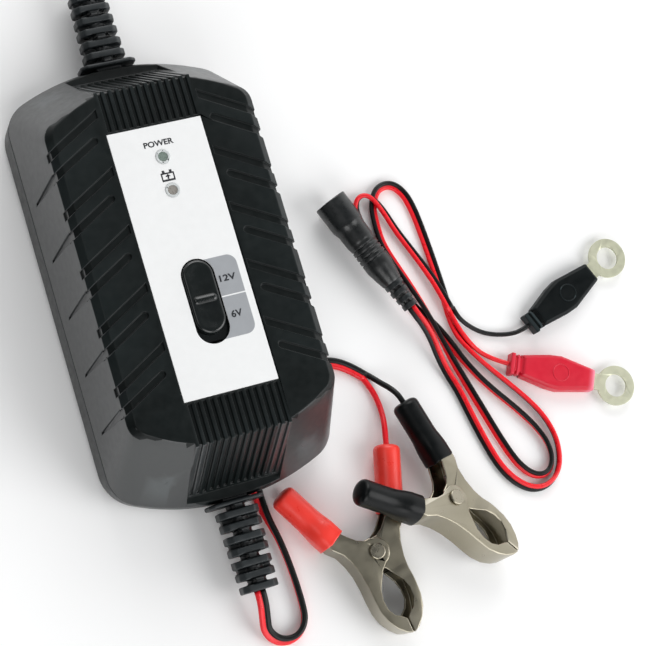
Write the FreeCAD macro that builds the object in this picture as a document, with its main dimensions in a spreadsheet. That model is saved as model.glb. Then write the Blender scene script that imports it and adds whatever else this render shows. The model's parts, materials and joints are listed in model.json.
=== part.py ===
import FreeCAD, Part
import Sketcher
import math
import os
from FreeCAD import Vector as V, Placement, Rotation, Matrix

# Automatic 6 V / 12 V car battery charger with a clip lead and a separate lead with ring terminals.
# Millimetres.  Origin at the middle of the case's footprint, on the surface it stands on.
# +Y points to the mains end, +X to the right when the front label is read, +Z out of the front face.

doc = FreeCAD.newDocument("battery_charger")
sheet = doc.addObject("Spreadsheet::Sheet", "Sizes")
SIZES = [
    # case
    ("face_z", 44.0), ("bevel_z", 41.7), ("parting_z", 10.0), ("under_z", 2.6),
    ("face_half_w", 33.9), ("face_end_y", 62.2), ("face_sag", 11.0), ("face_corner", 5.5),
    ("bevel_half_w", 36.4), ("bevel_end_y", 63.2), ("bevel_sag", 11.5), ("bevel_corner", 6.3),
    ("mid_half_w", 40.4), ("mid_end_y", 78.2), ("mid_sag", 10.3), ("mid_corner", 12.0),
    ("base_half_w", 41.3), ("base_end_y", 78.0), ("base_sag", 11.9), ("base_corner", 14.0),
    ("wall_side", 2.4), ("ceiling_z", 41.8), ("floor_z", 4.6),
    ("pad_dia", 11.0), ("pad_x", 29.0), ("pad_y", 57.0),
    # ribbed end panels
    ("panel_half_w", 16.9), ("panel_top_y", 60.9), ("panel_low_y", 73.6), ("panel_low_z", 12.2),
    ("rib_pitch", 2.5), ("rib_groove_w", 1.15), ("rib_depth", 0.9), ("rib_count", 13.0),
    # tread grooves
    ("tread_pitch", 20.03), ("tread_depth", 0.8), ("tread_w", 2.9), ("tread_slope", -0.565),
    # front label, lamps and slot
    ("label_w", 33.0), ("label_l", 92.0), ("label_t", 0.4), ("recess_t", 0.5),
    ("lamp_hole_r", 2.5), ("lamp_power_y", 35.0), ("lamp_charge_y", 23.3), ("lamp_lens_r", 1.65),
    ("slot_y", -15.3), ("slot_l", 29.0), ("slot_w", 11.5),
    ("knob_l", 25.2), ("knob_w", 10.7), ("knob_travel", 3.0),
    # strain reliefs
    ("relief_z", 8.8), ("relief_pitch", 4.3), ("relief_flange_t", 2.6),
    ("relief_w0", 14.5), ("relief_w1", 12.7), ("relief_ht", 9.4), ("relief_core_r", 3.3),
    ("mains_hole_r", 2.6), ("mains_hole_l", 16.0),
    # board and what it carries
    ("board_w", 60.0), ("board_l", 100.0), ("board_t", 1.6), ("board_z", 32.0), ("post_dia", 6.0),
    ("core_w", 30.0), ("core_l", 26.0), ("core_ht", 18.0),
    ("sink_w", 34.0), ("sink_t", 2.0), ("sink_ht", 18.0),
    ("mains_cap_dia", 16.0), ("mains_cap_l", 24.0),
    ("out_cap_dia", 10.0), ("out_cap_l", 16.0),
    ("fuse_dia", 5.2), ("fuse_l", 20.0),
    ("screw_dia", 3.0), ("screw_head_dia", 5.6), ("screw_x", 29.0), ("screw_y", 57.0),
    # clips
    ("clip_jaw", 30.5), ("clip_half_t", 5.3), ("clip_ear_half_t", 4.3), ("clip_sheet", 0.8),
    ("rivet_r", 1.9), ("rivet_head_r", 2.8), ("rivet_head_ht", 0.9),
    ("sleeve_r", 4.8), ("sleeve_bore_r", 3.95), ("sleeve_l", 24.6),
    # leads
    ("twin_w", 4.4), ("twin_t", 2.2), ("single_r", 1.1), ("tail_r", 0.95), ("hank_t", 5.8),
    # quick connector
    ("conn_r", 6.1), ("conn_neck_r", 5.35), ("conn_bore_r", 4.7), ("conn_bore_l", 12.0), ("conn_z", 8.3),
    # ring terminals and boots
    ("ring_r", 7.4), ("ring_hole_r", 4.2), ("ring_t", 0.9), ("ring_z", 2.3),
    ("boot_w", 12.9), ("boot_l", 28.8), ("boot_ht", 5.4), ("boot_stub_l", 4.4),
]
for n, (name, val) in enumerate(SIZES, 1):
    sheet.set("A%d" % n, name)
    sheet.set("B%d" % n, str(val))
    sheet.setAlias("B%d" % n, name)
doc.recompute()


class Q:
    """A length that carries both its value and its expression on the sheet."""
    def __init__(self, v, e):
        self.v, self.e = float(v), e

    def __add__(self, o): o = q(o); return Q(self.v + o.v, "(%s + %s)" % (self.e, o.e))
    def __sub__(self, o): o = q(o); return Q(self.v - o.v, "(%s - %s)" % (self.e, o.e))
    def __mul__(self, o): o = q(o); return Q(self.v * o.v, "(%s * %s)" % (self.e, o.e))
    def __truediv__(self, o): o = q(o); return Q(self.v / o.v, "(%s / %s)" % (self.e, o.e))
    def __neg__(self): return Q(-self.v, "(0 - %s)" % self.e)
    def __radd__(self, o): return q(o) + self
    def __rsub__(self, o): return q(o) - self


def q(x):
    return x if isinstance(x, Q) else Q(x, "%.5f" % x if x >= 0 else "(0 - %.5f)" % -x)


def g(name):
    return float(sheet.get(name))


def s_(name):
    return Q(g(name), "Sizes." + name)


PARTS = []


def keep(obj, label):
    obj.Label = label
    PARTS.append(obj)
    return obj


# ---------------------------------------------------------------- sketch and feature helpers

def pd_body(label):
    b = doc.addObject("PartDesign::Body", label)
    return keep(b, label)


def sketch(b, name, z, role="XY_Plane"):
    s = b.newObject("Sketcher::SketchObject", name)
    for o in b.Origin.OriginFeatures:
        if o.Role == role:
            s.AttachmentSupport = [(o, "")]
    s.MapMode = "FlatFace"
    z = q(z)
    s.AttachmentOffset = Placement(V(0, 0, z.v), Rotation())
    s.setExpression("AttachmentOffset.Base.z", z.e)
    return s


def pin(s, geo, pos, x, y):
    for kind, val in (("DistanceX", q(x)), ("DistanceY", q(y))):
        if val.v >= 0:
            i = s.addConstraint(Sketcher.Constraint(kind, -1, 1, geo, pos, val.v))
            s.setExpression("Constraints[%d]" % i, val.e)
        else:
            i = s.addConstraint(Sketcher.Constraint(kind, geo, pos, -1, 1, -val.v))
            s.setExpression("Constraints[%d]" % i, (-val).e)


def poly(s, pts):
    pts = [(q(x), q(y)) for x, y in pts]
    first = None
    n = len(pts)
    for i in range(n):
        a, c = pts[i], pts[(i + 1) % n]
        k = s.addGeometry(Part.LineSegment(V(a[0].v, a[1].v, 0), V(c[0].v, c[1].v, 0)), False)
        if first is None:
            first = k
    for i in range(n):
        s.addConstraint(Sketcher.Constraint("Coincident", first + i, 2, first + (i + 1) % n, 1))
    for i in range(n):
        pin(s, first + i, 1, *pts[i])


def rect(s, x0, x1, y0, y1):
    poly(s, [(x0, y0), (x1, y0), (x1, y1), (x0, y1)])


def circle(s, x, y, r):
    x, y, r = q(x), q(y), q(r)
    k = s.addGeometry(Part.Circle(V(x.v, y.v, 0), V(0, 0, 1), r.v), False)
    pin(s, k, 3, x, y)
    i = s.addConstraint(Sketcher.Constraint("Radius", k, r.v))
    s.setExpression("Constraints[%d]" % i, r.e)


def stadium(s, x, y, w, l):
    """Slot shape, long along Y."""
    x, y, w, l = q(x), q(y), q(w), q(l)
    r = w / 2
    h = l / 2 - r
    g1 = s.addGeometry(Part.LineSegment(V(x.v + r.v, y.v - h.v, 0), V(x.v + r.v, y.v + h.v, 0)), False)
    g2 = s.addGeometry(Part.ArcOfCircle(Part.Circle(V(x.v, y.v + h.v, 0), V(0, 0, 1), r.v), 0, math.pi), False)
    g3 = s.addGeometry(Part.LineSegment(V(x.v - r.v, y.v + h.v, 0), V(x.v - r.v, y.v - h.v, 0)), False)
    g4 = s.addGeometry(Part.ArcOfCircle(Part.Circle(V(x.v, y.v - h.v, 0), V(0, 0, 1), r.v), math.pi, 2 * math.pi), False)
    for a, pa, c, pc in ((g1, 2, g2, 1), (g2, 2, g3, 1), (g3, 2, g4, 1), (g4, 2, g1, 1)):
        s.addConstraint(Sketcher.Constraint("Coincident", a, pa, c, pc))
    pin(s, g1, 1, x + r, y - h)
    pin(s, g1, 2, x + r, y + h)
    pin(s, g3, 1, x - r, y + h)
    pin(s, g3, 2, x - r, y - h)
    for k, yy in ((g2, y + h), (g4, y - h)):
        if yy.v >= 0:
            i = s.addConstraint(Sketcher.Constraint("DistanceY", -1, 1, k, 3, yy.v))
            s.setExpression("Constraints[%d]" % i, yy.e)
        else:
            i = s.addConstraint(Sketcher.Constraint("DistanceY", k, 3, -1, 1, -yy.v))
            s.setExpression("Constraints[%d]" % i, (-yy).e)


def pad(b, s, length):
    p = b.newObject("PartDesign::Pad", s.Name + "_pad")
    p.Profile = s
    length = q(length)
    p.Length = length.v
    p.setExpression("Length", length.e)
    s.Visibility = False
    return p


def pocket(b, s, length):
    """Cuts downwards from the sketch, and the volume must drop."""
    doc.recompute()
    before = b.Shape.Volume
    p = b.newObject("PartDesign::Pocket", s.Name + "_pocket")
    p.Profile = s
    length = q(length)
    p.Length = length.v
    p.setExpression("Length", length.e)
    doc.recompute()
    if not b.Shape.Volume < before - 0.01:
        raise RuntimeError("pocket %s cuts nothing" % p.Name)
    return p


def shape_part(label, shape):
    f = doc.addObject("Part::Feature", label)
    f.Shape = shape
    return keep(f, label)


def prim(kind, label, **sizes):
    o = doc.addObject(kind, label)
    for k, v in sizes.items():
        v = q(v)
        setattr(o, k, v.v)
        o.setExpression(k, v.e)
    return o


def prism(pts, z0, z1):
    w = Part.makePolygon([V(x, y, z0) for x, y in pts] + [V(pts[0][0], pts[0][1], z0)])
    return Part.Face(w).extrude(V(0, 0, z1 - z0))


def box(x0, x1, y0, y1, z0, z1):
    return Part.makeBox(x1 - x0, y1 - y0, z1 - z0, V(x0, y0, z0))


def cyl(r, l, p, d=V(0, 0, 1)):
    return Part.makeCylinder(r, l, p, d)


def one(shape):
    """The single solid of a boolean's result."""
    if len(shape.Solids) == 1:
        return shape.Solids[0]
    return shape


def checked(shape, n, what):
    if not shape.isValid() or len(shape.Solids) != n:
        raise RuntimeError("%s: valid %s, %d solids" % (what, shape.isValid(), len(shape.Solids)))
    return shape


# ---------------------------------------------------------------- case

def outline(a, b, sag, r, z):
    """Case outline: two straight sides, two bowed ends, four tangent corners."""
    re = (a * a + sag * sag) / (2 * sag)
    cy = b - re
    yc = cy + math.sqrt((re - r) ** 2 - (a - r) ** 2)

    def corner(sx, sy):
        c = V(sx * (a - r), sy * yc, z)
        p1 = V(sx * a, sy * yc, z)
        k = re / (re - r)
        p2 = V(sx * (a - r) * k, sy * (cy + (yc - cy) * k), z)
        m = (p1 - c) + (p2 - c)
        m.normalize()
        return p1, c + m * r, p2
    pr, mr, er = corner(1, 1)
    pl, ml, el = corner(-1, 1)
    qr, nr, fr = corner(1, -1)
    ql, nl, fl = corner(-1, -1)
    e = [Part.LineSegment(qr, pr).toShape(), Part.Arc(pr, mr, er).toShape(),
         Part.Arc(er, V(0, b, z), el).toShape(), Part.Arc(el, ml, pl).toShape(),
         Part.LineSegment(pl, ql).toShape(), Part.Arc(ql, nl, fl).toShape(),
         Part.Arc(fl, V(0, -b, z), fr).toShape(), Part.Arc(fr, nr, qr).toShape()]
    return Part.Wire(e)


def ring_dims(prefix):
    return [g(prefix + k) for k in ("_half_w", "_end_y", "_sag", "_corner")]


FZ, BZ, PZ, UZ = g("face_z"), g("bevel_z"), g("parting_z"), g("under_z")
face, bev, mid, base = [ring_dims(k) for k in ("face", "bevel", "mid", "base")]
WS = g("wall_side")


def grow(d, k):
    return [d[0] + k, d[1] + k, d[2], max(1.0, d[3] + k)]


def loft(sections):
    return Part.makeLoft([outline(*d, z) for d, z in sections], True, True)


def yz_prism(pts, x0, x1):
    w = Part.makePolygon([V(x0, y, z) for y, z in pts] + [V(x0, pts[0][0], pts[0][1])])
    return Part.Face(w).extrude(V(x1 - x0, 0, 0))


# outer skin of the top cover, with a small V at the parting line
outer = loft([(grow(mid, -0.4), PZ), (mid, PZ + 0.45), (bev, BZ), (face, FZ)])
PW, PT, PL, PLZ = g("panel_half_w"), g("panel_top_y"), g("panel_low_y"), g("panel_low_z")
for sy in (1, -1):
    fill = yz_prism([(sy * 48, FZ), (sy * PT, FZ), (sy * PL, PLZ), (sy * 60, PLZ), (sy * 48, 30)], -PW, PW)
    outer = one(outer.fuse(fill))
    beyond = yz_prism([(sy * (PT - 0.2), FZ + 0.5), (sy * PL, PLZ), (sy * 95, PLZ), (sy * 95, FZ + 0.5)], -PW, PW)
    outer = one(outer.cut(beyond))

inner_low = [38.0, 70.6, 10.0, 9.0]
inner_high = [34.0, 58.6, 10.5, 5.0]
cavity = loft([(inner_low, PZ - 1), (inner_low, PZ), (inner_high, g("ceiling_z"))])
top = one(outer.cut(cavity))

# lengthwise grooves of the end panels, from the label's edge over the bend and down the end wall
nx, nz = (FZ - PLZ), (PL - PT)
nn = math.hypot(nx, nz)
nx, nz = nx / nn, nz / nn
RD, RW, RP = g("rib_depth"), g("rib_groove_w"), g("rib_pitch")
gy0, gz0 = PT - nx * RD, FZ - nz * RD
slope = (PL - PT) / (FZ - PLZ)
zb = FZ - RD
yb = gy0 + (gz0 - zb) * slope
zl = PLZ + 0.7
yl = gy0 + (gz0 - zl) * slope
count = int(g("rib_count"))
cutters = []
for sy in (1, -1):
    for i in range(count):
        x = (i - (count - 1) / 2.0) * RP
        pts = [(sy * 46.8, FZ + 1), (sy * 46.8, zb), (sy * yb, zb), (sy * yl, zl), (sy * 84, zl), (sy * 84, FZ + 1)]
        cutters.append(yz_prism(pts, x - RW / 2, x + RW / 2))
top = one(top.cut(Part.makeCompound(cutters)))

# diagonal tread grooves: a long one from the label's edge and a short round-ended one below it,
# both over the bevel, and the short one running out down the side wall
TD, TW, TP, TS = g("tread_depth"), g("tread_w"), g("tread_pitch"), g("tread_slope")
inset = loft([([d - TD for d in mid[:2]] + mid[2:], PZ), ([d - TD for d in bev[:2]] + bev[2:], BZ - 0.15),
              ([d - TD for d in face[:2]] + face[2:], FZ - TD)])
strips = []
for sx in (1, -1):
    for i in range(5):
        y = 55.2 - TP * i
        pts = [(17.7, y), (40.5, y + TS * 22.8), (40.5, y + TS * 22.8 - TW), (17.7, y - TW)]
        if i == 4:
            y4 = y
        strips.append(prism([(sx * a, c) for a, c in pts], 39.6, FZ + 1))
        y = 46.8 - TP * i
        r = TW / 2 * math.cos(math.atan(TS))
        d = V(1, TS, 0)
        d.normalize()
        n = V(-d.y, d.x, 0)
        c0 = V(20.9, y - TW / 2 - 0.5, 0)
        c1 = c0 + d * 24
        w = [c0 + n * r, c1 + n * r, c1 - n * r, c0 - n * r, c0 - d * (r * 0.75) - n * (r * 0.65), c0 - d * r,
             c0 - d * (r * 0.75) + n * (r * 0.65)]
        strips.append(prism([(sx * p.x, p.y) for p in w], 38.5, FZ + 1))
        yw = 36.6 - TP * i
        wedge = yz_prism([(yw + 1.3, 40), (yw - 1.7, 40), (yw - 2.6, 20), (yw - 2.9, 17.5), (yw - 2.0, 18.2)],
                         sx * 33 if sx > 0 else -44, sx * 44 if sx > 0 else -33)
        strips.append(wedge)
tread = Part.makeCompound(strips).cut(inset)
top = one(top.cut(tread))

# recess for the label, lamp holes, switch slot, notches for the strain reliefs
top = one(top.cut(box(-g("label_w") / 2 - 0.1, g("label_w") / 2 + 0.1, -g("label_l") / 2 - 0.1, g("label_l") / 2 + 0.1,
                      FZ - g("recess_t"), FZ + 1)))
for y in (g("lamp_power_y"), g("lamp_charge_y")):
    top = one(top.cut(cyl(g("lamp_hole_r"), 8, V(0, y, FZ - 5))))


def slot_solid(w, l, y, z0, z1):
    r = w / 2.0
    h = l / 2.0 - r
    a = box(-r, r, y - h, y + h, z0, z1)
    return one(a.fuse([cyl(r, z1 - z0, V(0, y + h, z0)), cyl(r, z1 - z0, V(0, y - h, z0))]).removeSplitter())


top = one(top.cut(slot_solid(g("slot_w"), g("slot_l"), g("slot_y"), 36, FZ + 1)))
RZ = g("relief_z")
for sy in (1, -1):
    top = one(top.cut(box(-4.6, 4.6, min(sy * 66, sy * 82), max(sy * 66, sy * 82), 5, RZ + 3.2)))

# posts for the board's screws and the case screws
posts = []
for sx in (1, -1):
    for sy in (1, -1):
        p = cyl(g("post_dia") / 2, g("ceiling_z") + 0.5 - g("board_z") - g("board_t"),
                V(sx * 25, sy * 40, g("board_z") + g("board_t")))
        posts.append(p.cut(cyl(1.1, 6, V(sx * 25, sy * 40, g("board_z")))))
        p = cyl(3.2, 22.4, V(sx * g("screw_x"), sy * g("screw_y"), PZ + 0.6))
        posts.append(p.cut(cyl(g("screw_dia") / 2 + 0.1, 16, V(sx * g("screw_x"), sy * g("screw_y"), PZ))))
top = one(top.fuse(posts))
checked(top, 1, "top_cover")
shape_part("top_cover", top)

# bottom cover: shallow tub with four moulded pads, screw bosses and seats for the reliefs
tub = loft([(base, UZ), (mid, PZ)])
tub = one(tub.cut(loft([([38.2, 70.6, 10.0, 9.0], g("floor_z")), ([38.0, 70.6, 10.0, 9.0], PZ + 1)])))
extra = []
for sx in (1, -1):
    for sy in (1, -1):
        extra.append(Part.makeCone(g("pad_dia") / 2 - 0.4, g("pad_dia") / 2, UZ + 0.4, V(sx * g("pad_x"), sy * g("pad_y"), 0)))
        extra.append(cyl(4.2, PZ + 0.6 - 3.0, V(sx * g("screw_x"), sy * g("screw_y"), 3.0)))
tub = one(tub.fuse(extra))
for sx in (1, -1):
    for sy in (1, -1):
        p = V(sx * g("screw_x"), sy * g("screw_y"), 0)
        tub = one(tub.cut(cyl(g("screw_head_dia") / 2 + 0.3, 6.0, V(p.x, p.y, -0.5))))
        tub = one(tub.cut(cyl(g("screw_dia") / 2 + 0.15, 12.0, V(p.x, p.y, 0))))
for sy in (1, -1):
    tub = one(tub.cut(box(-4.6, 4.6, min(sy * 66, sy * 82), max(sy * 66, sy * 82), RZ - 3.2, 12)))
checked(tub, 1, "bottom_cover")
shape_part("bottom_cover", tub)

# case screws
screws = []
for sx in (1, -1):
    for sy in (1, -1):
        p = V(sx * g("screw_x"), sy * g("screw_y"), 5.5)
        head = cyl(g("screw_head_dia") / 2, 2.0, V(p.x, p.y, 3.5))
        head = head.cut(box(p.x - 1.7, p.x + 1.7, p.y - 0.35, p.y + 0.35, 3.3, 4.5))
        head = head.cut(box(p.x - 0.35, p.x + 0.35, p.y - 1.7, p.y + 1.7, 3.3, 4.5))
        screws.append(one(head.fuse(cyl(g("screw_dia") / 2, 16.0, V(p.x, p.y, 5.0)))))
shape_part("case_screws", Part.makeCompound(screws))

# ---------------------------------------------------------------- label, lamps, switch

lab = pd_body("front_label")
sk = sketch(lab, "label_outline", s_("face_z") - s_("recess_t"))
rect(sk, -(s_("label_w") / 2), s_("label_w") / 2, -(s_("label_l") / 2), s_("label_l") / 2)
pad(lab, sk, s_("label_t"))
sk = sketch(lab, "label_holes", s_("face_z") + 1)
circle(sk, 0, s_("lamp_power_y"), s_("lamp_hole_r"))
circle(sk, 0, s_("lamp_charge_y"), s_("lamp_hole_r"))
pocket(lab, sk, 3)
sk = sketch(lab, "label_slot", s_("face_z") + 1)
stadium(sk, 0, s_("slot_y"), s_("slot_w"), s_("slot_l"))
pocket(lab, sk, 3)

bz = pd_body("lamp_bezels")
sk = sketch(bz, "bezel_rings", s_("face_z") - 2.4)
for yy in ("lamp_power_y", "lamp_charge_y"):
    circle(sk, 0, s_(yy), s_("lamp_hole_r"))
    circle(sk, 0, s_(yy), s_("lamp_lens_r"))
pad(bz, sk, 2.55)

for label, yy in (("power_lens", "lamp_power_y"), ("charge_lens", "lamp_charge_y")):
    b = pd_body(label)
    sk = sketch(b, label + "_disc", s_("face_z") - 2.4)
    circle(sk, 0, s_(yy), s_("lamp_lens_r"))
    pad(b, sk, 2.3)
    sk = sketch(b, label + "_seat", s_("face_z") - 3.2)
    circle(sk, 0, s_(yy), s_("lamp_lens_r") - 0.5)
    pad(b, sk, 0.9)

# slide knob: rounded button in the slot, a wider base under the cover, raised grip bar across its middle
kb = pd_body("voltage_knob")
KY = s_("slot_y") + (s_("slot_l") - s_("knob_l")) / 2 - 0.35
sk = sketch(kb, "knob_button", s_("ceiling_z") - 0.5)
stadium(sk, 0, KY, s_("knob_w"), s_("knob_l"))
pad(kb, sk, s_("face_z") + 0.6 - s_("ceiling_z") + 0.5)
sk = sketch(kb, "knob_base", s_("ceiling_z") - 2.0)
rect(sk, -6.9, 6.9, KY - 15.0, KY + 15.0)
pad(kb, sk, 1.6)
for n, yy in enumerate((KY + 6.9, KY - 6.9)):
    sk = sketch(kb, "knob_dish_%d" % n, s_("face_z") + 1.0)
    stadium(sk, 0, yy, 8.6, 9.4)
    pocket(kb, sk, 1.0)
sk = sketch(kb, "knob_grip", s_("face_z") + 0.4)
rect(sk, -4.1, 4.1, KY - 0.9, KY + 0.9)
pad(kb, sk, 0.9)

sw = pd_body("slide_switch")
sk = sketch(sw, "switch_housing", s_("board_z") + s_("board_t"))
rect(sk, -6.4, 6.4, s_("slot_y") - 15.5, s_("slot_y") + 15.5)
pad(sw, sk, s_("ceiling_z") - 2.3 - s_("board_z") - s_("board_t"))

# ---------------------------------------------------------------- board and its parts (hidden)

pcb = pd_body("circuit_board")
sk = sketch(pcb, "board_outline", s_("board_z"))
rect(sk, -(s_("board_w") / 2), s_("board_w") / 2, -(s_("board_l") / 2), s_("board_l") / 2)
pad(pcb, sk, s_("board_t"))
sk = sketch(pcb, "board_holes", s_("board_z") + s_("board_t") + 1)
for sx in (1, -1):
    for sy in (1, -1):
        circle(sk, 25 * sx, 40 * sy, 1.25)
pocket(pcb, sk, 4)

bs = []
for sx in (1, -1):
    for sy in (1, -1):
        p = V(sx * 25, sy * 40, 0)
        bs.append(one(cyl(2.2, 1.6, V(p.x, p.y, g("board_z") - 1.6)).fuse(cyl(1.0, 6.6, V(p.x, p.y, g("board_z") - 0.5)))))
shape_part("board_screws", Part.makeCompound(bs))

tc = pd_body("transformer_core")
sk = sketch(tc, "core_block", s_("board_z") - s_("core_ht") - 1)
rect(sk, -(s_("core_w") / 2), s_("core_w") / 2, 0, s_("core_l"))
pad(tc, sk, s_("core_ht"))
sk = sketch(tc, "core_windows", s_("board_z"))
rect(sk, -10.2, -5.2, 4, s_("core_l") - 4)
rect(sk, 5.2, 10.2, 4, s_("core_l") - 4)
pocket(tc, sk, s_("core_ht") + 2)

tw = pd_body("transformer_winding")
sk = sketch(tw, "winding_block", s_("board_z") - s_("core_ht") + 1)
rect(sk, -10.0, -5.4, 4.2, s_("core_l") - 4.2)
rect(sk, 5.4, 10.0, 4.2, s_("core_l") - 4.2)
pad(tw, sk, s_("core_ht") - 4)

hs = pd_body("heatsink")
sk = sketch(hs, "sink_plate", s_("board_z") - s_("sink_ht") - 0.2)
rect(sk, -(s_("sink_w") / 2), s_("sink_w") / 2, -12, -12 + s_("sink_t"))
pad(hs, sk, s_("sink_ht"))
sk = sketch(hs, "sink_fins", s_("board_z") - s_("sink_ht") - 0.2)
for k in range(6):
    x = -15.5 + 6.2 * k
    rect(sk, x - 0.6, x + 0.6, -18.5, -12)
pad(hs, sk, s_("sink_ht"))

cap = prim("Part::Cylinder", "mains_capacitor", Radius=s_("mains_cap_dia") / 2, Height=s_("mains_cap_l"))
cap.Placement = Placement(V(-17, 36, g("board_z") - g("mains_cap_dia") / 2 - 0.4), Rotation(V(0, 1, 0), 90))
keep(cap, "mains_capacitor")

caps = []
for x in (-13, 0):
    caps.append(cyl(g("out_cap_dia") / 2, g("out_cap_l"), V(x, -34, g("board_z") - 0.3 - g("out_cap_l"))))
shape_part("output_capacitors", Part.makeCompound(caps))

fz = prim("Part::Cylinder", "fuse", Radius=s_("fuse_dia") / 2, Height=s_("fuse_l"))
fz.Placement = Placement(V(17, -44, g("board_z") - g("fuse_dia") / 2 - 0.6), Rotation(V(1, 0, 0), -90))
keep(fz, "fuse")

leds = []
for y in (g("lamp_power_y"), g("lamp_charge_y")):
    z0 = g("board_z") + g("board_t")
    led = cyl(1.5, 3.0, V(0, y, FZ - 6.4)).fuse([cyl(1.9, 0.8, V(0, y, FZ - 7.0)),
                                                 cyl(0.25, FZ - 6.9 - z0, V(-0.8, y, z0)),
                                                 cyl(0.25, FZ - 6.9 - z0, V(0.8, y, z0))])
    leds.append(one(led))
shape_part("indicator_leds", Part.makeCompound(leds))

# ---------------------------------------------------------------- strain reliefs


def octagon_plate(w, ht, t, y0, sy):
    """Flange with cut corners, square to the lead's axis."""
    hw, hh, c = w / 2.0, ht / 2.0, 2.0
    pts = [(hw - c, -hh), (hw, -hh + c), (hw, hh - c), (hw - c, hh), (-hw + c, hh), (-hw, hh - c), (-hw, -hh + c), (-hw + c, -hh)]
    w_ = Part.makePolygon([V(x, y0, RZ + z) for x, z in pts] + [V(pts[0][0], y0, RZ + pts[0][1])])
    return Part.Face(w_).extrude(V(0, sy * t, 0))


def relief(sy, bored):
    pitch, ft, w0, w1, ht = g("relief_pitch"), g("relief_flange_t"), g("relief_w0"), g("relief_w1"), g("relief_ht")
    y_col = 78.35
    first = y_col + 1.5 + (pitch - ft)
    pieces = []
    # inner flange behind the wall, neck through it, collar plate outside
    def ybox(x, y0, y1, z0, z1):
        return box(-x, x, min(sy * y0, sy * y1), max(sy * y0, sy * y1), z0, z1)
    pieces.append(ybox(6.6, 65.6, 68.4, RZ - 4.1, RZ + 4.1))
    pieces.append(ybox(4.45, 68.0, y_col + 0.5, RZ - 3.05, RZ + 3.05))
    pieces.append(octagon_plate(20.0, 10.4, 1.5, sy * y_col, sy))
    last = first + 6 * pitch + ft
    pieces.append(cyl(g("relief_core_r"), last - y_col, V(0, sy * y_col, RZ), V(0, sy, 0)))
    for i in range(7):
        w = w0 + (w1 - w0) * i / 6.0
        y0 = first + pitch * i
        pieces.append(octagon_plate(w, ht, ft, sy * y0, sy))
        g0, g1 = y0 - (pitch - ft) - 0.2, y0 + 0.2
        if i % 2 == 0:
            pieces.append(ybox(1.5, g0, g1, RZ - ht / 2 + 0.01, RZ + ht / 2 - 0.01))
        else:
            pieces.append(ybox(w / 2 - 0.6, g0, g1, RZ - 1.5, RZ + 1.5))
    s = pieces[0].fuse(pieces[1:])
    if bored:
        s = s.cut(cyl(g("mains_hole_r"), g("mains_hole_l"), V(0, sy * (last + 0.001), RZ), V(0, -sy, 0)))
    return one(s), last


mr, relief_end = relief(1, True)
shape_part("mains_strain_relief", checked(mr, 1, "mains relief"))
orl, relief_end = relief(-1, False)
shape_part("output_strain_relief", checked(orl, 1, "output relief"))
print("strain reliefs end at y = %.2f" % relief_end)

# ---------------------------------------------------------------- cord tubes

def route_wire(pts, name, dia):
    """Straight runs joined by tangent arcs; each arc takes 0.45 of its shorter run."""
    pts = [V(*p) for p in pts]
    edges = []
    cur, radii = pts[0], []
    for i in range(1, len(pts) - 1):
        a, b, c = pts[i - 1], pts[i], pts[i + 1]
        u, w = b - a, c - b
        la, lc = u.Length, w.Length
        u, w = u / la, w / lc
        turn = math.acos(max(-1, min(1, u.dot(w))))
        cut = 0.45 * min(la, lc)
        r = cut / math.tan(turn / 2.0)
        radii.append(r)
        p1, p2 = b - u * cut, b + w * cut
        m = (w - u)
        m.normalize()
        mid_ = b + m * (math.sqrt(r * r + cut * cut) - r)
        edges.append(Part.LineSegment(cur, p1).toShape())
        edges.append(Part.Arc(p1, mid_, p2).toShape())
        cur = p2
    edges.append(Part.LineSegment(cur, pts[-1]).toShape())
    wire = Part.Wire(edges)
    runs = [(pts[i + 1] - pts[i]).Length for i in range(len(pts) - 1)]
    print("%s: length %.1f, runs %s, radii %s (in diameters, least %.1f)" % (
        name, wire.Length, [round(r, 1) for r in runs], [round(r, 1) for r in radii], min(radii) / dia))
    return wire


def round_tube(pts, r, name):
    wire = route_wire(pts, name, 2 * r)
    p, d = V(*pts[0]), V(*pts[1]) - V(*pts[0])
    prof = Part.Wire([Part.makeCircle(r, p, d)])
    s = wire.makePipeShell([prof], True, False)
    vol = math.pi * r * r * wire.Length
    print("   volume %.1f, section x length %.1f" % (s.Volume, vol))
    return s


def flat_tube(pts, w, t, name):
    """Two cores side by side: a flat section that stays level along the route."""
    wire = route_wire(pts, name, w)
    p = V(*pts[0])
    d = V(*pts[1]) - p
    d.normalize()
    side = V(0, 0, 1).cross(d)
    side.normalize()
    up = d.cross(side)
    h = (w - t) / 2.0
    r = t / 2.0
    e = [Part.LineSegment(p - side * h + up * r, p + side * h + up * r).toShape(),
         Part.Arc(p + side * h + up * r, p + side * (h + r), p + side * h - up * r).toShape(),
         Part.LineSegment(p + side * h - up * r, p - side * h - up * r).toShape(),
         Part.Arc(p - side * h - up * r, p - side * (h + r), p - side * h + up * r).toShape()]
    sweep = Part.BRepOffsetAPI.MakePipeShell(wire)
    sweep.setBiNormalMode(V(0, 0, 1))
    sweep.add(Part.Wire(e))
    sweep.build()
    sweep.makeSolid()
    s = sweep.shape()
    area = w * t - t * t + math.pi * t * t / 4.0
    print("   volume %.1f, section x length %.1f" % (s.Volume, area * wire.Length))
    return s


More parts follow.
